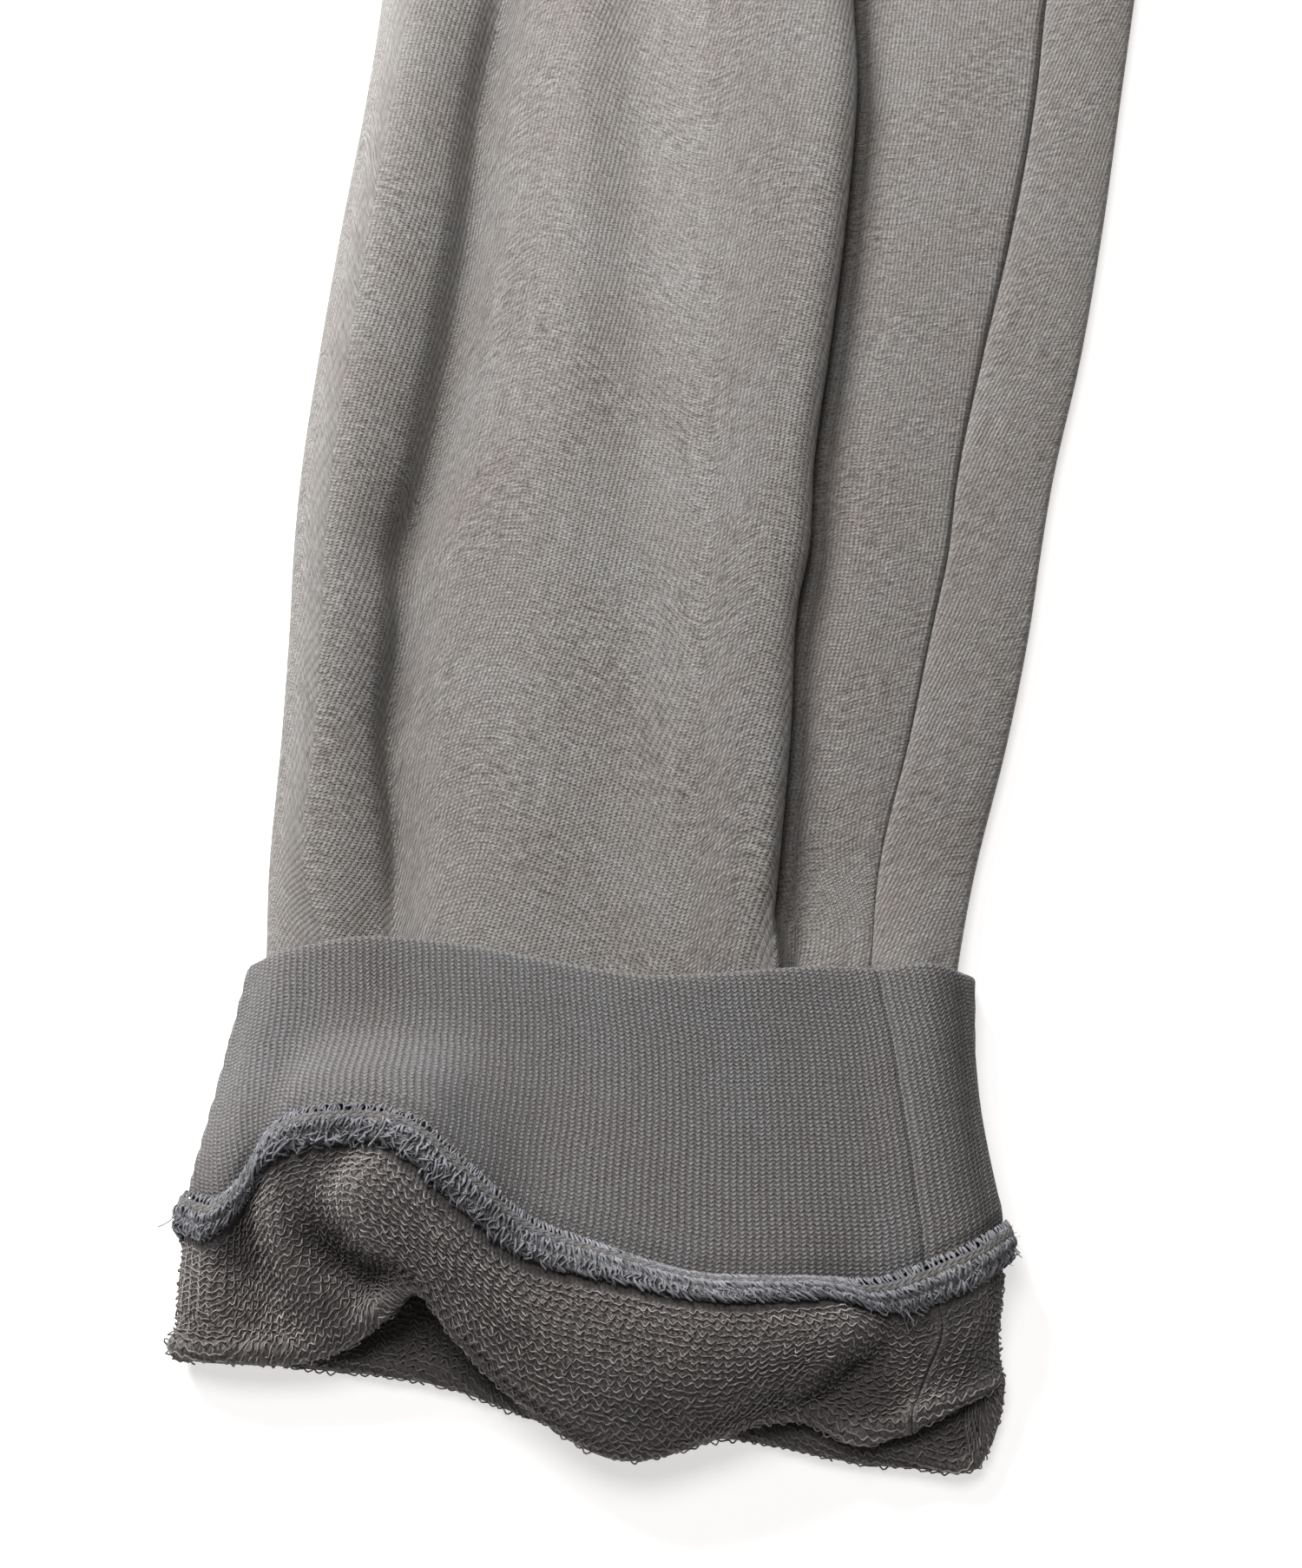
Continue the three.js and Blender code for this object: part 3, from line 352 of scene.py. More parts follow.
def to_frame(points):
    """From the garment's frame in millimetres to the part's in metres."""
    return (points + np.array([0, LAYOUT_MIDDLE, 0])) * MM


def look_up(rows, key, value, at):
    return float(np.interp(at, [row[key] for row in rows], [row[value] for row in rows]))


# Sections round the leg

def point(x, y, z):
    return np.array([x, y, z], dtype=float)


def shoulder(side, inward, after):
    return point(side[0] + inward * EDGE_TURN, mix(side[1], after[1], 0.35), mix(side[2], after[2], 0.5))


def tucked_fold(crest, edge, floor, depth):
    """From the fold's crest over its edge, back under itself and down to the floor beside it."""
    if depth == 0:
        down = mix(edge, floor, EDGE_ROUNDING)
        return [mix(crest, edge, t) for t in STEPS_TO_EDGE] + [mix(down, floor, t) for t in STEPS_TO_FLOOR]
    drop = edge[2] - floor[2]
    return [point(edge[0] - step["back"] * depth, edge[1], edge[2] - step["drop"] * drop)
            for step in FOLD_STEPS]


def ring_row(crests, fold, lines, under, left_edge, right_edge):
    """One row round the leg: the front from the outer seam to the inseam, and the back on round."""
    floor, panel, inseam, roll = lines
    under_start = right_edge[0] - EDGE_TURN
    under_width = under_start - left_edge[0] - OUTSEAM_INSET
    return {
        "front": [under(left_edge[0] + OUTSEAM_INSET), under(left_edge[0] + EDGE_TURN), left_edge,
                  *crests, *fold, floor, panel, inseam],
        "back": [inseam, roll, shoulder(right_edge, -1, roll), right_edge]
        + [under(under_start - t * under_width) for t in UNDER_SHARES],
    }


def leg_row(across, heights, tucked=True):
    """A row of the leg above the turned-up cuff."""
    y = across["y"]
    points = [point(across[line], y, heights[line]) for line in LEG_LINES]
    left_edge, crests = points[0], points[1:9]
    edge, panel, inseam, roll, right_edge = points[9:]
    floor = point(edge[0] + FLOOR_BEYOND_EDGE, y, panel[2] - FLOOR_BELOW_PANEL)
    tuck = look_up(LEG_DEPTHS, "y", "tuck", y) if tucked else 0
    under_z = look_up(LEG_DEPTHS, "y", "under", y)
    fold = tucked_fold(crests[-1], edge, floor, tuck)
    return ring_row([shoulder(left_edge, 1, crests[0]), *crests], fold, (floor, panel, inseam, roll),
                    lambda x: point(x, y, under_z), left_edge, right_edge)


def layered(lines, inward):
    """Lines moved inwards along their own section, as the next layer of the tube lies."""
    lines = np.array(lines)
    before = np.concatenate([lines[:1], lines[:-1]])
    after = np.concatenate([lines[1:], lines[-1:]])
    across = unit((after - before) * [1, 0, 1])
    return lines + inward * np.stack([across[:, 2], np.zeros(len(lines)), -across[:, 0]], axis=1)


def end_row(k, inward=0.0, up=0.0):
    """A row of the turned-up end; a layer inside it lies further in."""
    x, y, z = END_ACROSS[k], END_ALONG[k], END_HEIGHTS[k]
    outer = [point(x[line], y[line] + up, z[line]) for line in END_LINES]
    lines = layered(outer, inward)
    under_z = END_UNDER[k]["z"] + inward

    def under(ux):
        mouth_y = look_up(TABLE_MOUTH, "x", "y", ux)
        return point(ux, up + mix(TABLE_SEAM_Y, mouth_y, END_UNDER[k]["share"]), under_z)

    def side(p, after, way):
        if inward > 0:
            return point(p[0] + way * inward * SIDE_LAYER, p[1], (under_z + after[2]) / 2)
        return point(p[0] + way * inward, p[1], p[2])

    left_edge = side(outer[0], lines[1], 1)
    right_edge = side(outer[-1], lines[-2], -1)
    crests = list(lines[1:10])
    edge, floor, panel, inseam, roll = lines[10:-1]
    roll[0] = min(roll[0], right_edge[0] - ROLL_IN)
    fold = tucked_fold(crests[-1], edge, floor, 0)
    return ring_row(crests, fold, (floor, panel, inseam, roll), under, left_edge, right_edge)


def plain_row(row, lines):
    """A row of the plain parts, from its outer and inner edges."""
    side = math.copysign(1, row["outer"])
    width = abs(row["outer"] - row["inner"])
    seam_in = look_up(SIDE_SEAMS, "y", "inset", row["y"])
    side_share = min(row["inseamIn"] / OUTSEAM_INSET, 1)
    at_crotch = row["y"] == 0

    def from_outer(distance, z):
        return point(row["outer"] - side * distance, row["y"], z)

    def under(distance):
        return from_outer(distance, TABLE_LAYER)

    top = [from_outer(mix(FIRST_TOP_SHARE, width - row["inseamIn"], line["share"]),
                      row["loft"] + line["rise"]) for line in lines]
    if at_crotch:
        top[-1][2] = SIDE_EDGE_Z + CROTCH_OPEN
    else:
        top[-1][2] = mix(SIDE_EDGE_Z + SEAM_TURN_RISE, top[-1][2], side_share)
    front = [under(seam_in), under(EDGE_TURN), from_outer(0, SIDE_EDGE_Z),
             from_outer(EDGE_TURN, SIDE_EDGE_Z + SIDE_TURN_RISE), *top]
    left = width - seam_in
    if row["inseamIn"] == 0:
        lowest = OPEN_BACK[-1]["inset"]
        drops = [mix(SIDE_EDGE_Z - CROTCH_OPEN, TABLE_LAYER, step["drop"]) if at_crotch else TABLE_LAYER
                 for step in OPEN_BACK]
        back = [from_outer(width - step["inset"], z) for step, z in zip(OPEN_BACK, drops)]
        back += [under(width - lowest - t * (left - lowest)) for t in UNDER_SHARES[1:]]
        return {"front": front, "back": back}
    back = [
        top[-1],
        from_outer(width - row["inseamIn"] * 0.45, mix(SIDE_EDGE_Z + 1, row["loft"], side_share)),
        from_outer(width - EDGE_TURN * side_share, mix(SIDE_EDGE_Z, row["loft"], side_share / 2)),
        from_outer(width, SIDE_EDGE_Z),
    ]
    back += [under(width - EDGE_TURN - t * (left - EDGE_TURN)) for t in UNDER_SHARES]
    return {"front": front, "back": back}


def upper_lines(folds):
    """The leg's folds carried on above the photographed leg as shares of its width, and fading."""
    rows = [leg_row(LEG_ACROSS[-1], LEG_HEIGHTS[-1], tucked)["front"][4:] for tucked in (True, False)]
    tucked, plain = np.array(rows[0]), np.array(rows[1])
    shares = [(row[:, 0] - row[0, 0]) / (row[-1, 0] - row[0, 0]) for row in (plain, tucked)]
    share = mix(shares[0], shares[1], folds)
    rise = (mix(plain[:, 2], tucked[:, 2], folds) - FOLD_BASE) * folds
    return [{"share": s, "rise": r} for s, r in zip(share, rise)]


def right_rows():
    """The turned-up leg from its cuff seam over the mouth fold and up to the waist."""
    last = len(END_ROWS) - 1
    ring = [end_row(k) for k in range(last)]
    ring += [end_row(last, -MOUTH_FOLD, MOUTH_FOLD), end_row(last), end_row(last, MOUTH_FOLD, MOUTH_FOLD)]
    ring += [end_row(k, SEAM_PITCH if k == 0 else LAYER_PITCH) for k in reversed(range(last))]
    ring += [leg_row(across, heights) for across, heights in zip(LEG_ACROSS, LEG_HEIGHTS)]
    upper = [plain_row(row, upper_lines(row["folds"])) for row in UPPER_RIGHT]
    return {side: [leg_to_garment(row[side]) for row in ring] + [np.array(row[side]) for row in upper]
            for side in ("front", "back")}


def left_rows():
    rows = [plain_row(row, LEFT_TOP) for row in LEFT_ROWS]
    return {side: [np.array(row[side]) for row in rows] for side in ("front", "back")}


def creased(grid):
    """Soft creases raise the upper layer of the plain parts."""
    rise = np.zeros(grid.shape[:2])
    for crease in SOFT_CREASES:
        turn = math.radians(crease["turn"])
        dx = grid[..., 0] - crease["x"]
        dy = grid[..., 1] - crease["y"]
        along = (dx * math.cos(turn) + dy * math.sin(turn)) / (crease["long"] / 2)
        aside = (dy * math.cos(turn) - dx * math.sin(turn)) / crease["wide"]
        rise += crease["rise"] * np.exp(-along ** 2 - aside ** 2)
    grid = grid.copy()
    grid[..., 2] += rise * np.clip((grid[..., 2] - 4) / 1.5, 0, 1)
    return grid


def finer(counts, times):
    return [count * times for count in counts]


def panel_nets(rows, front_columns, back_columns, row_counts, fineness):
    """The front's and the back's nets, with what they share at the seams."""
    across, along = fineness
    nets = {}
    for side, columns in (("front", front_columns), ("back", back_columns)):
        nets[side] = creased(net(rows[side], finer(columns, across), finer(row_counts, along)))
    return nets


# Meshes

def mesh_piece(name, mesh, materials):
    """An object at the origin that rides on the garment's one body."""
    piece = bpy.data.objects.new(name, mesh)
    bpy.context.scene.collection.objects.link(piece)
    for material in materials:
        mesh.materials.append(material)
    mesh.polygons.foreach_set("use_smooth", np.ones(len(mesh.polygons), dtype=bool))
    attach(piece, "root")
    return piece


def grid_mesh(name, points, cloth):
    """A bmesh grid moved onto a net of points, whose UVs are the cloth's own lengths in metres."""
    rows, columns = points.shape[:2]
    sheet = bmesh.new()
    bmesh.ops.create_grid(sheet, x_segments=columns - 1, y_segments=rows - 1, size=1.0)
    mesh = bpy.data.meshes.new(name)
    sheet.to_mesh(mesh)
    sheet.free()
    places = np.empty(len(mesh.vertices) * 3, dtype=np.float32)
    mesh.vertices.foreach_get("co", places)
    places = places.reshape(-1, 3)
    column = np.rint((places[:, 0] + 1) / 2 * (columns - 1)).astype(int)
    row = np.rint((places[:, 1] + 1) / 2 * (rows - 1)).astype(int)
    mesh.vertices.foreach_set("co", to_frame(points[row, column]).astype(np.float32).ravel())
    corners = np.empty(len(mesh.loops), dtype=np.int32)
    mesh.loops.foreach_get("vertex_index", corners)
    layer = mesh.uv_layers.new(name="cloth")
    layer.uv.foreach_set("vector", (cloth[row, column][corners] * MM).astype(np.float32).ravel())
    mesh.update()
    return mesh


def thickened(piece, thickness):
    """Gives a sheet its thickness about its middle; the looped side takes the second material."""
    modifier = piece.modifiers.new("thickness", "SOLIDIFY")
    modifier.thickness = thickness * MM
    modifier.offset = 0
    modifier.material_offset = 1
    modifier.material_offset_rim = 0
    bpy.context.view_layer.update()
    evaluated = piece.evaluated_get(bpy.context.evaluated_depsgraph_get())
    mesh = bpy.data.meshes.new_from_object(evaluated)
    piece.modifiers.clear()
    piece.data = mesh
    flatten(mesh)


def flatten(mesh):
    """Nothing reaches below the table."""
    places = np.empty(len(mesh.vertices) * 3, dtype=np.float32)
    mesh.vertices.foreach_get("co", places)
    places = places.reshape(-1, 3)
    places[:, 2] = np.maximum(places[:, 2], 0)
    mesh.vertices.foreach_set("co", places.ravel())
    mesh.update()


def cloth_lengths(grid, middle, first_row=0):
    """The cloth's own lengths: across from the middle column, and along from the first row."""
    across = travelled(grid, axis=1)
    across = across - across[:, middle:middle + 1]
    along = travelled(grid, axis=0)
    along = along - along[first_row]
    return np.stack([across, along], axis=-1)


def tubes_mesh(name, paths, ups, radius, sides=4):
    """Threads of equal point counts as one mesh: paths and ups are arrays of lines by points."""
    count, length = paths.shape[:2]
    direction = unit(np.gradient(paths, axis=1))
    aside = unit(np.cross(direction, ups))
    over = np.cross(aside, direction)
    angles = np.arange(sides) * 2 * math.pi / sides
    radius = np.broadcast_to(radius, paths.shape[:2])[..., None, None]
    ring = (aside[:, :, None] * np.cos(angles)[:, None] + over[:, :, None] * np.sin(angles)[:, None])
    points = paths[:, :, None] + ring * radius
    line, step, side = np.meshgrid(np.arange(count), np.arange(length - 1), np.arange(sides),
                                   indexing="ij")

    def at(step, side):
        return (line * length + step) * sides + side % sides

    faces = np.stack([at(step, side), at(step, side + 1), at(step + 1, side + 1), at(step + 1, side)],
                     axis=-1).reshape(-1, 4)
    return array_mesh(name, points.reshape(-1, 3), faces)


def array_mesh(name, points, faces):
    """Many small threads joined as one mesh."""
    mesh = bpy.data.meshes.new(name)
    mesh.vertices.add(len(points))
    mesh.vertices.foreach_set("co", to_frame(points).astype(np.float32).ravel())
    mesh.loops.add(faces.size)
    mesh.loops.foreach_set("vertex_index", faces.astype(np.int32).ravel())
    mesh.polygons.add(len(faces))
    mesh.polygons.foreach_set("loop_start", np.arange(len(faces), dtype=np.int32) * faces.shape[1])
    mesh.update(calc_edges=True)
    return mesh


# Shader nodes

class Nodes:
    """Short ways to add nodes to a tree."""

    def __init__(self, tree):
        self.tree = tree

    def add(self, kind, inputs=None, **settings):
        node = self.tree.nodes.new(kind)
        for name, value in settings.items():
            setattr(node, name, value)
        for socket, value in (inputs or {}).items():
            self.feed(node.inputs[socket], value)
        return node

    def feed(self, socket, value):
        if isinstance(value, bpy.types.NodeSocket):
            self.tree.links.new(value, socket)
        else:
            socket.default_value = value

    def math(self, operation, *values):
        node = self.add("ShaderNodeMath", operation=operation)
        for socket, value in zip(node.inputs, values):
            self.feed(socket, value)
        return node.outputs[0]

    def wave(self, phase):
        """A wave from 0 to 1 over each whole number of its phase."""
        turn = self.math("MULTIPLY", phase, 2 * math.pi)
        return self.math("MULTIPLY_ADD", self.math("COSINE", turn), -0.5, 0.5)

    def noise(self, vector, scale, detail=2.0, roughness=0.5):
        node = self.add("ShaderNodeTexNoise", {"Vector": vector, "Scale": scale, "Detail": detail,
                                               "Roughness": roughness})
        return node.outputs["Fac"]

    def spread(self, value, low, high, to_low=0.0, to_high=1.0):
        node = self.add("ShaderNodeMapRange", {"Value": value, "From Min": low, "From Max": high,
                                               "To Min": to_low, "To Max": to_high})
        return node.outputs["Result"]

    def blend(self, factor, one, two, blend_type="MIX"):
        node = self.add("ShaderNodeMix", data_type="RGBA", blend_type=blend_type)
        self.feed(node.inputs[0], factor)
        self.feed(node.inputs[6], one)
        self.feed(node.inputs[7], two)
        return node.outputs[2]


def new_group(name, inputs, outputs):
    """A shader node group with named sockets: (name, kind, default) in, (name, kind) out."""
    group = bpy.data.node_groups.new(name, "ShaderNodeTree")
    for label, kind, default in inputs:
        socket = group.interface.new_socket(label, in_out="INPUT", socket_type="NodeSocket" + kind)
        if default is not None:
            socket.default_value = default
    for label, kind in outputs:
        group.interface.new_socket(label, in_out="OUTPUT", socket_type="NodeSocket" + kind)
    nodes = Nodes(group)
    return group, nodes, nodes.add("NodeGroupInput").outputs, nodes.add("NodeGroupOutput").inputs


def stitches_group():
    """Knitted stitches: columns of small chevrons in the cloth's own lengths."""
    group, nodes, given, result = new_group("Knitted stitches", [
        ("Cloth", "Vector", None), ("Pitch", "Float", 0.87), ("Course", "Float", 0.73),
        ("Lean", "Float", 0.0), ("Waver", "Float", 0.3), ("Sway", "Float", 0.0)],
        [("Height", "Float"), ("Groove", "Float"), ("Line", "Float")])
    place = nodes.add("ShaderNodeVectorMath", {"Vector": given["Cloth"]}, operation="SCALE")
    place.inputs["Scale"].default_value = 1 / MM
    axes = nodes.add("ShaderNodeSeparateXYZ", {"Vector": place.outputs[0]}).outputs
    drift = nodes.math("SUBTRACT", nodes.noise(place.outputs[0], 0.35, 3.0), 0.5)
    across = nodes.math("MULTIPLY_ADD", axes["Y"], given["Lean"], axes["X"])
    across = nodes.math("MULTIPLY_ADD", drift, given["Waver"], across)
    sway = nodes.math("SUBTRACT", nodes.noise(place.outputs[0], 0.012, 1.0), 0.5)
    across = nodes.math("MULTIPLY_ADD", sway, given["Sway"], across)
    column = nodes.math("DIVIDE", across, given["Pitch"])
    arch = nodes.wave(nodes.math("ADD", column, 0.5))
    off = nodes.math("ABSOLUTE", nodes.math("SUBTRACT", nodes.math("FRACT", column), 0.5))
    phase = nodes.math("MULTIPLY_ADD", off, 1.1, nodes.math("DIVIDE", axes["Y"], given["Course"]))
    leg = nodes.wave(nodes.math("MULTIPLY_ADD", drift, 0.6, phase))
    rounded = nodes.math("POWER", arch, 0.6)
    height = nodes.math("MULTIPLY", nodes.math("MULTIPLY_ADD", rounded, 0.75, 0.25),
                        nodes.math("MULTIPLY_ADD", leg, 0.6, 0.4))
    nodes.feed(result["Height"], height)
    # The grooves, where painted shade darkens the colour.
    nodes.feed(result["Groove"], nodes.math("SUBTRACT", 1.0, height))
    nodes.feed(result["Line"], nodes.spread(off, 0.38, 0.44))
    return group


GROOVE_SHADE_MEAN = 0.55          # the grooves' average, about which the painted shade in the knit's grooves turns, so that a deeper painted shade is no darker as a whole


def dye_and_groove_shade_group():
    """Garment-dyed cotton: a warm and a cool tint in fine flecks and soft clouds, darkened by painted shade
    in the knit's grooves.
    """
    group, nodes, given, result = new_group("Garment dye", [
        ("Cloth", "Vector", None), ("Colour", "Color", (0.3, 0.3, 0.3, 1)),
        ("Groove", "Float", 0.0), ("Depth", "Float", 0.4), ("Wear", "Float", 0.0)],
        [("Colour", "Color"), ("Fleck", "Float")])
    place = nodes.add("ShaderNodeVectorMath", {"Vector": given["Cloth"]}, operation="SCALE")
    place.inputs["Scale"].default_value = 1 / MM
    grain = nodes.noise(place.outputs[0], 1.7, 4.0, 0.65)
    stretched = nodes.add("ShaderNodeVectorMath", {0: place.outputs[0], 1: (0.4, 1.2, 1.0)},
                          operation="MULTIPLY").outputs[0]
    fibres = nodes.noise(stretched, 0.95, 3.0, 0.6)
    worn = nodes.math("MULTIPLY", given["Wear"], nodes.spread(
        nodes.noise(place.outputs[0], 0.04, 3.0), 0.4, 0.62, 0.35, 1.0))
    fleck = nodes.math("ADD", grain, nodes.math("MULTIPLY", worn, nodes.math("SUBTRACT", fibres, 0.5)))
    cloud = nodes.noise(place.outputs[0], 0.035, 4.0, 0.55)
    patch = nodes.noise(place.outputs[0], 0.28, 3.0, 0.5)
    warm = nodes.blend(1.0, given["Colour"], (1.03, 0.99, 0.965, 1), "MULTIPLY")
    cool = nodes.blend(1.0, given["Colour"], (0.965, 1.0, 1.02, 1), "MULTIPLY")
    tone = nodes.spread(nodes.math("MULTIPLY_ADD", patch, 0.3, nodes.math("MULTIPLY", cloud, 0.7)), 0.3, 0.7)
    base = nodes.blend(tone, warm, cool)
    bright = nodes.math("MULTIPLY", nodes.spread(fleck, 0.3, 0.7, 0.55, 1.45),
                        nodes.spread(cloud, 0.3, 0.7, 0.93, 1.07))
    bright = nodes.math("MULTIPLY", bright, nodes.spread(patch, 0.3, 0.7, 0.94, 1.06))
    # Painted shade: the colour is darkened in the knit's grooves by the given strength, and less where the
    # cloth is worn.
    shown = nodes.math("MULTIPLY", given["Depth"], nodes.math("MULTIPLY_ADD", worn, -0.75, 1.0))
    sunk = nodes.math("SUBTRACT", 1.0, nodes.math("MULTIPLY", shown, nodes.math(
        "SUBTRACT", given["Groove"], GROOVE_SHADE_MEAN)))
    bright = nodes.math("MULTIPLY", bright, sunk)
    scaled = nodes.add("ShaderNodeVectorMath", {0: base}, operation="SCALE")
    nodes.feed(scaled.inputs["Scale"], bright)
    nodes.feed(result["Colour"], scaled.outputs[0])
    nodes.feed(result["Fleck"], fleck)
    return group


def build_groups():
    return {"stitches": stitches_group(), "dye_and_groove_shade": dye_and_groove_shade_group()}


def cloth_material(name, groups, colour, stitches=None, depth=0.35, relief=0.12, nap=0.05, sheen=0.25,
                   wear=0.0, line=0.0):
    """Matt cotton: dyed tint, painted shade in the knit's grooves, knitted relief and nap; sheen, roughness
    and the rest on the shader.
    """
    material = bpy.data.materials.new(name)
    material.use_nodes = True
    nodes = Nodes(material.node_tree)
    shader = material.node_tree.nodes["Principled BSDF"]
    cloth = nodes.add("ShaderNodeUVMap", uv_map="cloth").outputs[0]
    dye_and_groove_shade = nodes.add("ShaderNodeGroup", {}, node_tree=groups["dye_and_groove_shade"])
    nodes.feed(dye_and_groove_shade.inputs["Cloth"], cloth)
    nodes.feed(dye_and_groove_shade.inputs["Colour"], (*colour, 1.0))
    # depth is the strength of the painted shade in the knit's grooves.
    nodes.feed(dye_and_groove_shade.inputs["Depth"], depth)
    nodes.feed(dye_and_groove_shade.inputs["Wear"], wear)
    shade = dye_and_groove_shade.outputs["Colour"]
    height = nodes.math("MULTIPLY", dye_and_groove_shade.outputs["Fleck"], nap)
    if stitches:
        knit = nodes.add("ShaderNodeGroup", {}, node_tree=groups["stitches"])
        nodes.feed(knit.inputs["Cloth"], cloth)
        for label, value in stitches.items():
            nodes.feed(knit.inputs[label], value)
        # The stitches' grooves mask the painted shade.
        nodes.feed(dye_and_groove_shade.inputs["Groove"], knit.outputs["Groove"])
        height = nodes.math("MULTIPLY_ADD", knit.outputs["Height"], relief, height)
        if line:
            pale = tuple(min(1.0, channel * line) for channel in colour)
            shade = nodes.blend(nodes.math("MULTIPLY", knit.outputs["Line"], 0.7), shade, (*pale, 1.0))
    bump = nodes.add("ShaderNodeBump", {"Height": height, "Strength": 1.0, "Distance": MM})
    nodes.feed(shader.inputs["Base Color"], shade)
    nodes.feed(shader.inputs["Normal"], bump.outputs[0])
    shader.inputs["Roughness"].default_value = 0.95
    shader.inputs["Specular IOR Level"].default_value = 0.15
    shader.inputs["Sheen Weight"].default_value = sheen
    shader.inputs["Sheen Roughness"].default_value = 0.6
    return material


def thread_material(name, colour, sheen=0.2):
    """Loose cotton threads, mottled by their place."""
    material = bpy.data.materials.new(name)
    material.use_nodes = True
    nodes = Nodes(material.node_tree)
    shader = material.node_tree.nodes["Principled BSDF"]
    place = nodes.add("ShaderNodeTexCoord").outputs["Object"]
    fleck = nodes.noise(place, 900.0, 2.0)
    patch = nodes.noise(place, 90.0, 2.0)
    light = nodes.math("MULTIPLY", nodes.spread(fleck, 0.3, 0.7, 0.7, 1.35),
                       nodes.spread(patch, 0.3, 0.7, 0.85, 1.15))
    shade = nodes.add("ShaderNodeVectorMath", {0: colour}, operation="SCALE")
    nodes.feed(shade.inputs["Scale"], light)
    nodes.feed(shader.inputs["Base Color"], shade.outputs[0])
    shader.inputs["Roughness"].default_value = 0.9
    shader.inputs["Specular IOR Level"].default_value = 0.2
    shader.inputs["Sheen Weight"].default_value = sheen
    return material


# Settings a user would change

class SweatpantsColours(bpy.types.PropertyGroup):
    """The colours of the cloth and its threads."""
    face: FloatVectorProperty(name="Face", description="Napped face of the jersey", subtype="COLOR",
                              size=3, min=0, max=1, default=(0.255, 0.24, 0.228))
    loops: FloatVectorProperty(name="Loops", description="Looped inside of the jersey", subtype="COLOR",
                               size=3, min=0, max=1, default=(0.33, 0.305, 0.296))
    rib: FloatVectorProperty(name="Rib", description="Cuffs", subtype="COLOR",
                             size=3, min=0, max=1, default=(0.175, 0.168, 0.166))
    thread: FloatVectorProperty(name="Thread", description="Overlocking thread", subtype="COLOR",
                                size=3, min=0, max=1, default=(0.26, 0.262, 0.28))


class SweatpantsKnit(bpy.types.PropertyGroup):
    """The gauges of the knits, in millimetres."""
    wale: FloatProperty(name="Wale", description="Width of a jersey stitch in mm", default=0.87, min=0.4)
    course: FloatProperty(name="Course", description="Height of a stitch in mm", default=0.73, min=0.3)
    rib_wales: IntProperty(name="Rib wales", description="Ribs round a cuff", default=236, min=60)
    rib_depth: FloatProperty(name="Rib depth", description="Height of a rib in mm", default=0.3, min=0)
    loop_row: FloatProperty(name="Loop row", description="Between rows of loops in mm", default=1.12)
    loop_long: FloatProperty(name="Loop length", description="Between loops of a row in mm", default=1.9)
    loop_thread: FloatProperty(name="Loop thread", description="Radius of the loops' thread in mm",
                               default=0.17)


class SweatpantsStage(bpy.types.PropertyGroup):
    """The camera and the lights."""
    lens: FloatProperty(name="Lens", description="Focal length", subtype="NONE", default=45.0)
    key: FloatProperty(name="Key light", description="Power of the large light in watts", default=9.6)
    fill: FloatProperty(name="Fill light", description="Strength of the surroundings", default=0.1)


def add_settings():
    bpy.types.Scene.sweatpants_colours = PointerProperty(type=SweatpantsColours)
    bpy.types.Scene.sweatpants_knit = PointerProperty(type=SweatpantsKnit)
    bpy.types.Scene.sweatpants_stage = PointerProperty(type=SweatpantsStage)


def remove_settings():
    del bpy.types.Scene.sweatpants_colours
    del bpy.types.Scene.sweatpants_knit
    del bpy.types.Scene.sweatpants_stage


# Cloth

def flat_size(grid):
    """Width, length and area of the cloth in metres, measured on its net."""
    width = travelled(grid, axis=1)[:, -1].max() * MM
    length = travelled(grid, axis=0)[-1].max() * MM
    one, two = np.diff(grid[:-1], axis=1), np.diff(grid[:, :-1], axis=0)
    area = np.linalg.norm(np.cross(one, two), axis=-1).sum() * MM * MM
    share = min(max(area / (width * length), 0.31), 1.0)
    return (width, length), share * width * length


def sheet_piece(name, node, grid, cloth, materials, thickness):
    piece = mesh_piece(name, grid_mesh(name, grid, cloth), materials)
    thickened(piece, thickness)
    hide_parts(node)
    flat, area = flat_size(grid)
    return piece


def seam_dip(grid, at_first, at_last, depth=0.5, width=1.2):
    """Sinks the cloth beside its seams, so that they show as fine grooves."""
    normals = face_normals(grid)
    across = travelled(grid, axis=1)
    fall = np.zeros(grid.shape[:2])
    if at_first:
        fall += np.exp(-(across / width) ** 2)
    if at_last:
        fall += np.exp(-((across[:, -1:] - across) / width) ** 2)
    return on_table(grid - normals * (depth * fall)[..., None], TABLE_LAYER)


def right_leg_nets():
    return panel_nets(right_rows(), FRONT_COLUMNS, BACK_COLUMNS, RIGHT_ROWS, RIGHT_FINENESS)


def left_leg_nets():
    return panel_nets(left_rows(), LEFT_FRONT_COLUMNS, BACK_COLUMNS, LEFT_ROW_COUNTS, LEFT_FINENESS)


UNDER_LOOPS_PAINTED_SHADE = 0.6     # painted shade: how much darker the cloth is painted between its loops


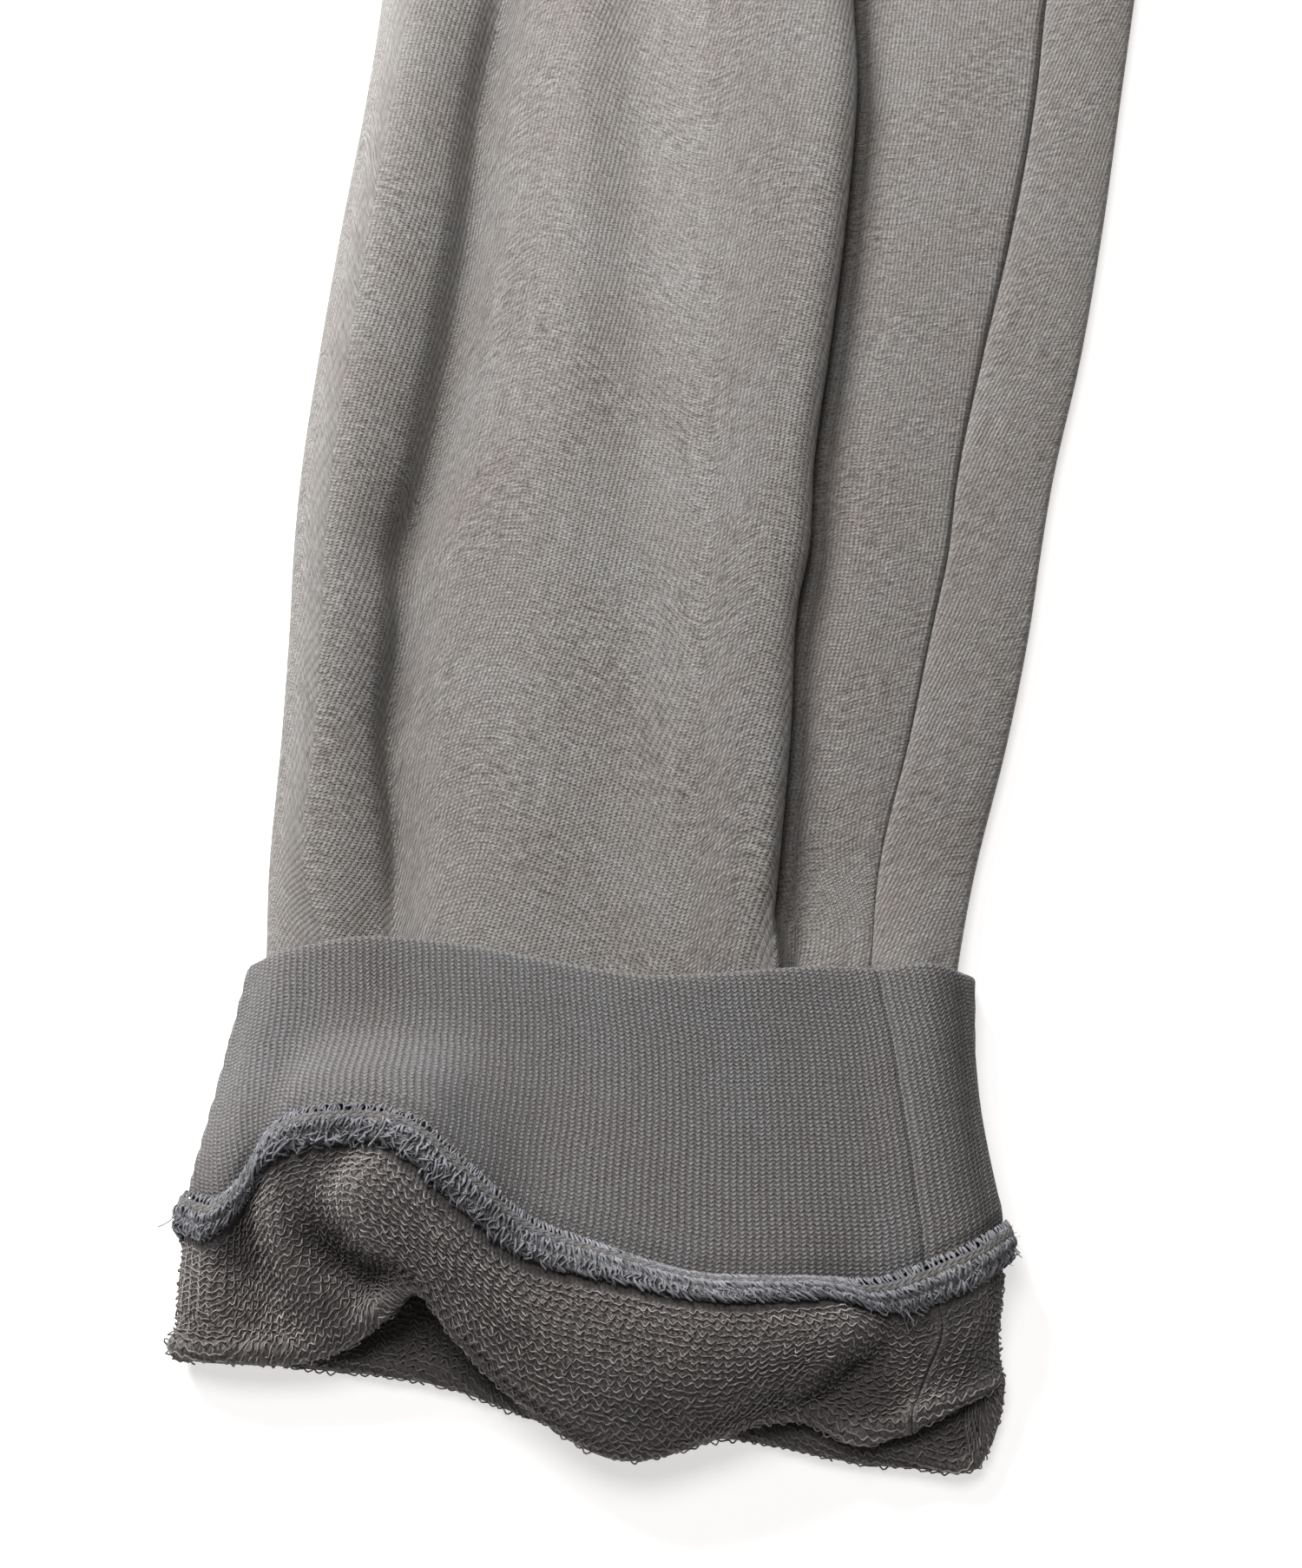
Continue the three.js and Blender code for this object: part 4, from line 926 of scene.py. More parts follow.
def make_materials(context):
    """The garment's materials, made once."""
    found = {name: bpy.data.materials.get(name) for name in ("jersey_face", "jersey_loops", "rib_knit",
                                                             "rib_inside", "overlock_thread", "loop_thread")}
    if all(found.values()):
        return found
    colours, knit = context.scene.sweatpants_colours, context.scene.sweatpants_knit
    groups = build_groups()
    jersey = {"Pitch": knit.wale, "Course": knit.course, "Lean": -0.2, "Waver": 0.35, "Sway": 7.0}
    loops = {"Pitch": knit.wale, "Course": knit.course, "Lean": 0.0, "Waver": 0.6}
    rib = {"Pitch": RIB_PITCH, "Course": knit.course, "Lean": 0.0, "Waver": 0.0}
    # The cloth between the loop threads is painted darker, as painted shade in the gaps between the loops.
    under_loops_painted_shade = tuple(channel * UNDER_LOOPS_PAINTED_SHADE for channel in colours.loops)
    return {
        # After the knit come the strength of the painted shade in its grooves, the relief and the nap.
        "jersey_face": cloth_material("jersey_face", groups, colours.face, jersey, 0.8, 0.2, 0.3, wear=1.0),
        "jersey_loops": cloth_material("jersey_loops", groups, under_loops_painted_shade, loops, 0.5, 0.3, 0.3),
        "rib_knit": cloth_material("rib_knit", groups, colours.rib, rib, 1.25, 0.25, 0.3, line=1.45),
        "rib_inside": cloth_material("rib_inside", groups, colours.rib, rib, 0.3, 0.2, 0.1),
        "overlock_thread": thread_material("overlock_thread", colours.thread),
        "loop_thread": thread_material("loop_thread", colours.loops),
    }


class MakeRightLeg(bpy.types.Operator):
    """Make the front and back panels of the turned-up right leg"""
    bl_idname = "sweatpants.right_leg"
    bl_label = "Right leg"

    def execute(self, context):
        materials = make_materials(context)
        look = [materials["jersey_face"], materials["jersey_loops"]]
        nets = right_leg_nets()
        for side in ("front", "back"):
            grid = nets[side]
            cloth = cloth_lengths(grid, grid.shape[1] // 2)
            shaped = seam_dip(grid, side == "back", side == "front")
            sheet_piece(f"{side}_panel_right", f"{side}_right", shaped, cloth, look, TERRY)
        return {"FINISHED"}


class MakeLeftLeg(bpy.types.Operator):
    """Make the front and back panels of the left leg, which lies worn down"""
    bl_idname = "sweatpants.left_leg"
    bl_label = "Left leg"

    def execute(self, context):
        materials = make_materials(context)
        look = [materials["jersey_face"], materials["jersey_loops"]]
        nets = left_leg_nets()
        for side in ("front", "back"):
            grid = nets[side][:, ::-1]
            cloth = cloth_lengths(grid, grid.shape[1] // 2)
            sheet_piece(f"{side}_panel_left", f"{side}_left", grid, cloth, look, TERRY)
        return {"FINISHED"}


# Ribbed cuffs

RIB_SEAM = table(["x", "y"], [[46.8, 30], [44.9, 43.6], [44.2, 55.6], [42.8, 71.2], [40.6, 83.9]])
RIB_PITCH = 1.4
RIB_POINTS = 4              # points across each rib
RIB_STRETCH_ROWS = 11       # rows of the outer layer between two rows of the tables
RIB_FOLD_ROWS = 6
RIB_INSIDE_ROWS = 12
RING_FINENESS = 12
SEAM_PRESS = 3.0            # over which the rib is pressed thinner towards its seam
RIDGE_ROUNDING = 0.7
CLOSING_SEAM_DEPTH = 0.5
CLOSING_SEAM_POINTS = 3.0   # points to each side over which the closing seam sinks
LEFT_SEAM_ASIDE = 42.0      # from the middle of the left cuff to its closing seam
LEFT_CUFF_POINTS = 60


def rib_row(k):
    """One row round the turned-up cuff, in the leg's frame."""
    if k == 0:
        x, y, z, lines, along = END_ACROSS[0], END_ALONG[0], END_HEIGHTS[0], END_LINES, RIB_SEAM_GAP
    else:
        x, y, z, lines, along = RIB_ACROSS[k - 1], RIB_ALONG[k - 1], RIB_HEIGHTS[k - 1], RIB_LINES, 0.0
    top = np.array([point(x[line], y[line] + along, z[line]) for line in lines])
    under_y, under_z = RIB_UNDER[k]["y"] + along, RIB_UNDER[k]["z"]
    left, right = top[0], top[-1]

    def corner(side, inward):
        return point(side[0] + inward * EDGE_TURN * CORNER_TURN, mix(side[1], under_y, 0.5),
                     mix(side[2], under_z, 0.7))

    under = [point(mix(right[0] - EDGE_TURN, left[0] + EDGE_TURN, t), under_y, under_z)
             for t in UNDER_SHARES]
    finely = smooth(top, [4] * (len(top) - 1))
    evenly = at_distances(finely, np.linspace(0, travelled(finely)[-1], RIB_KNOTS + 1))
    return np.concatenate([evenly, [corner(right, -1)], under, [corner(left, 1)]])


def from_seam(ring, place):
    """A closed ring as an even line that starts and ends where the cuff's closing seam crosses it."""
    closed = np.concatenate([ring, ring[:1]])
    fine = smooth(closed, [RING_FINENESS] * (len(closed) - 1))[:-1]
    top = fine[:RIB_KNOTS * RING_FINENESS]
    off = np.hypot(top[:, 0] - place[0], top[:, 1] - place[1])
    fine = np.roll(fine, -int(off.argmin()), axis=0)
    return np.concatenate([fine, fine[:1]])


def cuff_sheet(middle, wales, depth, thickness_at_seam):
    """The doubled rib as one sheet: up its outside, over the folded edge and down its inside."""
    count = wales * RIB_POINTS
    rows = np.stack([at_distances(row, np.linspace(0, travelled(row)[-1], count + 1)) for row in middle])
    normals = face_normals(np.concatenate([rows[:, -2:-1], rows, rows[:, 1:2]], axis=1))[:, 1:-1]
    tall = travelled(rows, axis=0)
    press = np.clip(tall / SEAM_PRESS, 0, 1)[..., None]
    half = mix(thickness_at_seam, RIB, press) / 2
    phase = np.arange(count + 1) / RIB_POINTS
    ridge = np.abs(np.sin(np.pi * phase)) ** RIDGE_ROUNDING
    edge = np.minimum(np.arange(count + 1), count - np.arange(count + 1))
    sunk = CLOSING_SEAM_DEPTH * np.exp(-(edge / CLOSING_SEAM_POINTS) ** 2)
    lift = (depth * (ridge - 1) - sunk)[None, :, None]
    outside = rows + normals * (half + lift)
    top, out = rows[-1], normals[-1]
    up = unit(rows[-1] - rows[-3])
    folds = []
    for t in np.linspace(0, 1, RIB_FOLD_ROWS + 2)[1:-1]:
        radius = half[-1] + lift[0] * (1 - t)
        folds.append(top + radius * (math.cos(math.pi * t) * out + math.sin(math.pi * t) * up))
    pick = np.linspace(len(rows) - 1, 0, RIB_INSIDE_ROWS).round().astype(int)
    inside = rows[pick] - normals[pick] * half[pick]
    return on_table(np.concatenate([outside, np.stack(folds), inside])), rows


def right_cuff_net():
    knots = np.stack([rib_row(k) for k in range(4)])
    rings = smooth(knots, [RIB_STRETCH_ROWS] * (len(knots) - 1))
    seam_x = [row["x"] for row in RIB_SEAM]
    seam_y = [row["y"] for row in RIB_SEAM]
    lines = []
    for k, ring in enumerate(rings):
        y = mix(seam_y[0], seam_y[-1], k / (len(rings) - 1))
        lines.append(leg_to_garment(from_seam(ring, (np.interp(y, seam_y, seam_x), y))))
    return lines


def flat_ring(y, middle, half, upper, lower, top_points, turn_points=6, under_points=30):
    """A flat ring: half its width, its middle, and its upper and lower height."""
    turn = (upper - lower) / 2
    mid = lower + turn

    def sweep(start, end, side):
        angles = mix(start, end, (np.arange(turn_points) + 0.5) / turn_points)
        return [point(middle + side * (half - turn) + turn * math.cos(a), y, mid + turn * math.sin(a))
                for a in angles]

    def run(start, end, z, count):
        return [point(middle + mix(start, end, k / count), y, z) for k in range(count + 1)]

    quarter = math.pi / 2
    return np.array(run(-(half - turn), half - turn, upper, top_points)
                    + sweep(quarter, -quarter, 1)
                    + run(half - turn, -(half - turn), lower, under_points)
                    + sweep(-quarter, -3 * quarter, -1))


def left_cuff_net():
    """The worn-down cuff hangs from its seam, so its rows run the other way."""
    seam = LEFT_ROWS[0]
    middle = (seam["inner"] + seam["outer"]) / 2
    knots = np.stack([flat_ring(seam["y"] - SEAM_GAP - row["share"] * CUFF_TALL, middle + row["shift"],
                                row["half"], row["upper"], RIB / 2, LEFT_CUFF_POINTS)
                      for row in LEFT_CUFF_ROWS])
    rings = smooth(knots, [RIB_STRETCH_ROWS] * (len(knots) - 1))[:, ::-1]
    aside = np.abs(rings[0][:, 0] - (middle - LEFT_SEAM_ASIDE))
    start = int(np.argmin(aside + UNDERSIDE_AWAY * (rings[0][:, 2] < SIDE_EDGE_Z)))
    rings = np.roll(rings, -start, axis=1)
    return [np.concatenate([ring, ring[:1]]) for ring in rings]


class MakeCuffs(bpy.types.Operator):
    """Make both ribbed cuffs with their ribs raised"""
    bl_idname = "sweatpants.cuffs"
    bl_label = "Cuffs"

    def execute(self, context):
        knit = context.scene.sweatpants_knit
        materials = make_materials(context)
        look = [materials["rib_knit"]]
        for side, lines in (("right", right_cuff_net()), ("left", left_cuff_net())):
            at_seam = RIB_AT_SEAM if side == "right" else RIB
            sheet, middle = cuff_sheet(lines, knit.rib_wales, knit.rib_depth, at_seam)
            cloth = cloth_lengths(sheet, 0)
            cloth[..., 0] = np.arange(sheet.shape[1]) / RIB_POINTS * RIB_PITCH
            name = f"rib_cuff_{side}"
            piece = mesh_piece(name, grid_mesh(name, sheet, cloth), look)
            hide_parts(f"cuff_{side}")
            flat, area = flat_size(middle)
        return {"FINISHED"}


# Waistband

class MakeWaistband(bpy.types.Operator):
    """Make the waistband, drawn into gathers by its elastic"""
    bl_idname = "sweatpants.waistband"
    bl_label = "Waistband"

    def execute(self, context):
        materials = make_materials(context)
        knots = np.stack([flat_ring(WAIST_SEAM_Y + SEAM_GAP + share * WAIST_TALL, 0, WAIST_HALF,
                                    BAND_UPPER, BAND / 2, BAND_GATHERS * GATHER_POINTS,
                                    BAND_TURN_POINTS, BAND_UNDER_POINTS)
                          for share in BAND_ROWS])
        rings = smooth(knots, BAND_ROW_COUNTS)
        rings = np.concatenate([rings, rings[:, :1]], axis=1)
        normals = face_normals(rings)
        around = travelled(rings, axis=1)
        tall = (rings[..., 1] - rings[0, 0, 1]) / WAIST_TALL
        inside = np.sin(np.pi * np.clip(tall, 0, 1)) ** 0.5
        pitch = 2 * WAIST_HALF / BAND_GATHERS
        waver = sum(wave["share"] * np.sin(around / wave["long"] + wave["lean"] * tall)
                    for wave in GATHER_WAVERS)
        gathers = np.sin(2 * np.pi * (around / pitch + waver)) * GATHER_RISE
        stitched = -STITCHES_DEPTH * sum(np.exp(-((tall - height) / STITCHES_WIDE) ** 2)
                                         for height in ELASTIC_STITCHES)
        rings = rings + normals * ((gathers + stitched) * inside)[..., None]
        rings = on_table(rings, BAND / 2)
        cloth = cloth_lengths(rings, rings.shape[1] // 2)
        look = [materials["jersey_face"], materials["jersey_face"]]
        sheet_piece("gathered_waistband", "waistband", rings, cloth, look, BAND)
        return {"FINISHED"}


# Loops on the inside of the jersey

LOOP_POINTS = 5             # points of thread in each loop
LOOP_RISE = 0.6
LOOP_SAG = 0.42
LOOP_TALL = (0.45, 1.3)     # least and most, as shares of LOOP_RISE
LOOP_DROOP = (0.2, 1.8)     # least and most, as shares of LOOP_SAG
LOOP_LEAN = 0.35
LOOP_SWAY = 0.25
LOOP_CLEAR = 0.02
LOOPED_STRETCHES = 18       # stretches of the leg's rows that can show loops
LOWEST_LOOP = 1.4           # loops nearer the table than this aren't seen
LOOPS_START = 7.0           # from the cuff seam
LOOP_REACH_FRONT = 62       # from the cuff seam, over the mouth fold and into the leg
LOOP_REACH_BACK = 84


def loop_rows(grid, knit, first, last, seed, shown):
    """Wavy threads that run across the looped side, row by row from the cuff seam."""
    rng = np.random.default_rng(seed)
    normals = face_normals(grid)
    along = travelled(grid, axis=0)
    fields = np.concatenate([grid, normals], axis=-1)
    columns = grid.shape[1]
    loop_paths = []
    for level in np.arange(first, last, knit.loop_row):
        line = np.stack([
            [np.interp(level, along[:, j], fields[:, j, k]) for k in range(6)] for j in range(columns)])
        down = np.stack([
            [np.interp(level + 1, along[:, j], grid[:, j, k]) for k in range(3)] for j in range(columns)])
        line = np.concatenate([line, unit(down - line[:, :3])], axis=1)
        reach = travelled(line[:, :3])
        step = knit.loop_long / LOOP_POINTS
        distances = np.arange(rng.uniform(0, knit.loop_long), reach[-1], step)
        at = at_distances(line, distances, reach)
        place, normal, along_row = at[:, :3], unit(at[:, 3:6]), at[:, 6:9]
        turn = distances / knit.loop_long
        which = np.floor(turn).astype(int) - int(np.floor(turn[0]))
        tall = rng.uniform(*LOOP_TALL, which.max() + 2)[which]
        sag = rng.uniform(*LOOP_DROOP, which.max() + 2)[which]
        lean = rng.uniform(-LOOP_LEAN, LOOP_LEAN, which.max() + 2)[which]
        swing = 0.5 - 0.5 * np.cos(2 * np.pi * turn)
        lift = TERRY / 2 + LOOP_CLEAR + LOOP_RISE * tall * swing
        slide = LOOP_SAG * sag * (swing - 0.4) + LOOP_SWAY * np.sin(2 * np.pi * turn + 6 * lean)
        path = place - normal * lift[:, None] + along_row * slide[:, None]
        visible = shown(place)
        loop_paths.append((path, -normal, visible))
    return loop_paths


def loops_mesh(name, rows, radius):
    """Rows of threads of different lengths, cut into single loops and joined."""
    paths, ups = [], []
    for path, up, visible in rows:
        whole = (len(path) - 1) // LOOP_POINTS
        for k in range(whole):
            part = slice(k * LOOP_POINTS, (k + 1) * LOOP_POINTS + 1)
            if visible[part].all():
                paths.append(path[part])
                ups.append(up[part])
    paths = np.array(paths)
    paths[..., 2] = np.maximum(paths[..., 2], radius)
    return tubes_mesh(name, paths, np.array(ups), radius, 3)


class MakeLoops(bpy.types.Operator):
    """Make the loops of the turned-up end, where the inside of the jersey shows"""
    bl_idname = "sweatpants.loops"
    bl_label = "Loops"

    def execute(self, context):
        knit = context.scene.sweatpants_knit
        materials = make_materials(context)
        nets = right_leg_nets()
        reaches = {"front": LOOP_REACH_FRONT, "back": LOOP_REACH_BACK}
        for side, seed in (("front", 11), ("back", 12)):
            grid = nets[side][:RIGHT_FINENESS[1] * LOOPED_STRETCHES]
            rows = loop_rows(grid, knit, LOOPS_START, reaches[side], seed,
                             lambda place: place[:, 2] > LOWEST_LOOP)
            name = f"loops_{side}_right"
            mesh = loops_mesh(name, rows, knit.loop_thread)
            mesh_piece(name, mesh, [materials["loop_thread"]])
        return {"FINISHED"}


# Overlocked allowance of the cuff seam

STITCH_PITCH = 0.45
ALLOWANCE_TALL = 4.6
ALLOWANCE_ABOVE = 1.0       # the roll starts this far up the rib
ALLOWANCE_PUFF = 0.12
ALLOWANCE_THICK = 1.3
ALLOWANCE_GAP = 0.45
ALLOWANCE_FACE = TERRY / 2 + ALLOWANCE_GAP + ALLOWANCE_THICK
NEEDLE_ABOVE = 2.0          # the needle thread's row lies this far up the rib
TANGLE = 1.6                # how much looser the stitches are on the arch over the hump
TANGLE_AT = -174.0
TANGLE_WIDE = 20.0
# The threads of one stitch: how far towards the mouth, out from the cloth and along the seam
THREAD_PATH = ["tall", "out", "side"]
NEEDLE_PATH = table(THREAD_PATH, [
    [-NEEDLE_ABOVE, 1.0, 0.0], [-NEEDLE_ABOVE * 0.6, 1.75, 0.05],
    [-NEEDLE_ABOVE * 0.2, 2.0, 0.15], [0.4, 1.6, 0.2],
])
LOOPER_PATH = table(THREAD_PATH, [
    [0.3, ALLOWANCE_FACE - 0.7, 0.0], [0.9, ALLOWANCE_FACE + 0.25, 0.1],
    [1.7, ALLOWANCE_FACE + 0.35, 0.2], [2.5, ALLOWANCE_FACE - 0.1, 0.3],
])
EDGE_PATH = table(THREAD_PATH, [
    [2.2, ALLOWANCE_FACE - 0.3, 0.0], [3.0, ALLOWANCE_FACE + 0.25, 0.4],
    [ALLOWANCE_TALL - 0.6, ALLOWANCE_FACE + 0.1, -0.1],
    [ALLOWANCE_TALL + 0.25, ALLOWANCE_FACE - 0.7, 0.5],
    [ALLOWANCE_TALL - 0.3, ALLOWANCE_FACE - 1.7, 0.9],
])
OVERLOCK_THREADS = table(["label", "path", "radius", "loose"], [
    ["needle", NEEDLE_PATH, 0.2, 0.07],
    ["looper", LOOPER_PATH, 0.22, 0.12],
    ["edge", EDGE_PATH, 0.2, 0.26],
])
STITCH_SHIFT = 0.1          # how far a stitch strays along the seam
STITCH_TILTS = (0.18, -0.12)        # of every other stitch, at each step of its path
LOOSE_ALONG, LOOSE_OUT, LOOSE_UP = 1.5, 0.6, 1.2
FIBRES = 1800
FIBRE_LONG = 1.3
FIBRE_RADIUS = 0.045
FRAYED_LONG = 4.2
FRAYED_RADIUS = 0.13
FRAYED_OUT = 2.6
FACES_UP = 0.2              # least upward share of the looped side where frayed ends stand
FIBRE_OUT_BY_NEEDLE = 1.7
HAIR_POINTS = 6
HAIR_LENGTHS = (0.3, 1.0)   # least and most, as shares of the longest
HAIR_BENDS = (0.1, 0.9)
FRAYED_ENDS = table(["x", "spread", "threads", "tall", "aside"], [
    [-81.0, 1.2, 7, 4.0, 0.6], [-64.0, 1.4, 8, 2.0, 1.6], [-203.0, 0.8, 4, 2.0, 1.2],
])


def seam_ring():
    """The cuff seam all round: its points, the looped side, and the way towards the mouth."""
    nets = right_leg_nets()
    parts = []
    for side in ("front", "back"):
        grid = nets[side]
        normals = face_normals(grid)
        towards = unit(grid[RIGHT_FINENESS[1] * 2] - grid[0])
        parts.append(np.concatenate([grid[0], -normals[0], towards], axis=1))
    ring = np.concatenate([parts[0], parts[1][1:-1]])
    ring = np.concatenate([ring, ring[:1]])
    reach = travelled(ring[:, :3])
    return ring, reach


def along_ring(ring, reach, distances):
    at = at_distances(ring, np.mod(distances, reach[-1]), reach)
    return at[:, :3], unit(at[:, 3:6]), unit(at[:, 6:9])


class MakeAllowance(bpy.types.Operator):
    """Make the overlocked allowance: its rolled edge, its stitches and its frayed ends"""
    bl_idname = "sweatpants.allowance"
    bl_label = "Overlocked allowance"

    def execute(self, context):
        materials = make_materials(context)
        ring, reach = seam_ring()
        self.roll(ring, reach, materials)
        self.stitches(ring, reach, materials)
        self.fibres(ring, reach, materials)
        self.frayed_ends(ring, reach, materials)
        return {"FINISHED"}

    def roll(self, ring, reach, materials):
        """The rolled edges of the rib and the jersey under the stitches."""
        rng = np.random.default_rng(5)
        around, section = 620, 14
        distances = np.linspace(0, reach[-1] - 1e-6, around + 1)
        place, out, down = along_ring(ring, reach, distances)
        bumps = np.convolve(rng.normal(0, 1, around + 9), np.ones(9) / 9, "valid")
        bumps[-1] = bumps[0]
        rows = []
        for t in np.linspace(0, 2 * np.pi, section + 1):
            tall = (ALLOWANCE_TALL + ALLOWANCE_ABOVE) * (0.5 - 0.5 * math.cos(t)) - ALLOWANCE_ABOVE
            thick = ALLOWANCE_GAP + TERRY / 2 + ALLOWANCE_THICK * (0.5 - 0.5 * math.sin(t))
            puff = (1 + 0.5 * bumps[:, None]) * ALLOWANCE_PUFF
            rows.append(place + down * (tall + puff) + out * (thick + puff))
        grid = on_table(np.stack(rows)[::-1])
        cloth = cloth_lengths(grid, 0)
        piece = mesh_piece("overlocked_edge", grid_mesh("overlocked_edge", grid, cloth),
                           [materials["rib_inside"]])
        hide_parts("hem_allowance_right")

    def stitches(self, ring, reach, materials):
        """Two rows of short upright stitches and a tangled row round the cut edge."""
        rng = np.random.default_rng(6)
        count = int(reach[-1] / STITCH_PITCH)
        for thread in OVERLOCK_THREADS:
            path, radius = thread["path"], thread["radius"]
            lines, ups = [], []
            start = np.arange(count) * reach[-1] / count + rng.normal(0, STITCH_SHIFT, count)
            tilt = np.where(np.arange(count) % 2, *STITCH_TILTS)
            across = along_ring(ring, reach, start)[0][:, 0]
            rough = 1 + TANGLE * np.exp(-((across - TANGLE_AT) / TANGLE_WIDE) ** 2)
            for k, step in enumerate(path):
                jitter = rng.normal(0, thread["loose"], (3, count)) * rough
                side = step["side"] + tilt * k + jitter[0] * LOOSE_ALONG
                place, out, down = along_ring(ring, reach, start + side)
                lines.append(place + out * (step["out"] + LOOSE_OUT * jitter[1])[:, None]
                             + down * (step["tall"] + LOOSE_UP * jitter[2])[:, None])
                ups.append(out)
            paths = smooth(np.stack(lines), [2] * (len(path) - 1)).swapaxes(0, 1)
            turned = np.repeat(np.stack(ups), 2, axis=0).swapaxes(0, 1)[:, :paths.shape[1]]
            name = f"overlock_{thread['label']}_threads"
            paths[..., 2] = np.maximum(paths[..., 2], radius)
            mesh = tubes_mesh(name, paths, turned, radius, 5)
            mesh_piece(name, mesh, [materials["overlock_thread"]])

    def fibres(self, ring, reach, materials):
        """Fine fibres that stand off the stitches."""
        rng = np.random.default_rng(7)
        start = rng.uniform(0, reach[-1], FIBRES)
        place, out, down = along_ring(ring, reach, start)
        tall = rng.uniform(-NEEDLE_ABOVE, ALLOWANCE_TALL + 0.3, FIBRES)
        from_cloth = np.where(tall < 0, FIBRE_OUT_BY_NEEDLE, ALLOWANCE_FACE)
        root = place + down * tall[:, None] + out * from_cloth[:, None]
        along = unit(np.cross(out, down))
        self.hairs("overlock_fibres", root, out, along, down, rng, FIBRE_LONG, FIBRE_RADIUS, materials)

    def frayed_ends(self, ring, reach, materials):
        """Loose thread ends that curl out of the cut edge in a few places."""
        rng = np.random.default_rng(8)
        roots, outs, alongs, downs = [], [], [], []
        for end in FRAYED_ENDS:
            off_top = np.where(ring[:, 5] > FACES_UP, 0, UNDERSIDE_AWAY)
            near = np.abs(ring[:, 0] - end["x"]) + off_top
            at = reach[np.argmin(near)] + rng.normal(0, end["spread"], end["threads"])
            place, out, down = along_ring(ring, reach, at)
            along = unit(np.cross(out, down)) * end["aside"]
            roots.append(place + down * end["tall"] + out * FRAYED_OUT)
            outs.append(out)
            alongs.append(along)
            downs.append(down)
        root, out, along, down = (np.concatenate(parts) for parts in (roots, outs, alongs, downs))
        self.hairs("frayed_ends", root, down, along, out, rng, FRAYED_LONG, FRAYED_RADIUS, materials)

    def hairs(self, name, root, ahead, aside, beside, rng, longest, radius, materials):
        """Curled hairs, from their roots mostly ahead."""
        count = len(root)
        way = unit(ahead + rng.normal(0, 0.6, (count, 1)) * aside + rng.normal(0, 0.5, (count, 1)) * beside)
        curl = unit(np.cross(way, rng.normal(0, 1, (count, 3))))
        length = rng.uniform(*HAIR_LENGTHS, (count, 1)) * longest
        bend = rng.uniform(*HAIR_BENDS, (count, 1))
        paths = np.stack([root + way * length * t + curl * length * bend * t * t
                          for t in np.linspace(0, 1, HAIR_POINTS)], axis=1)
        paths[..., 2] = np.maximum(paths[..., 2], radius)
        ups = np.repeat(curl[:, None], HAIR_POINTS, axis=1)
        mesh = tubes_mesh(name, paths, ups, radius, 3)
        mesh_piece(name, mesh, [materials["overlock_thread"]])


# Stage

CAMERA_AT = Vector((-0.1181, -0.6236 + LAYOUT_MIDDLE * MM, 0.3486))
CAMERA_LOOKS_AT = Vector((-0.1304, -0.4832 + LAYOUT_MIDDLE * MM, 0.0))
CAMERA_UP = Vector((-0.0872, 0.9962, 0.0))
LIGHTS_AIM = Vector((-0.1304, -0.28, 0.0))
FLOOR_HALF = 3.0
FLOOR_BELOW = 0.0005


def floor_material():
    material = bpy.data.materials.new("pale_floor")
    material.use_nodes = True
    shader = material.node_tree.nodes["Principled BSDF"]
    shader.inputs["Base Color"].default_value = (0.93, 0.925, 0.92, 1)
    shader.inputs["Roughness"].default_value = 0.9
    shader.inputs["Specular IOR Level"].default_value = 0.1
    shader.inputs["Emission Color"].default_value = (1, 0.99, 0.98, 1)
    shader.inputs["Emission Strength"].default_value = 0.5
    return material


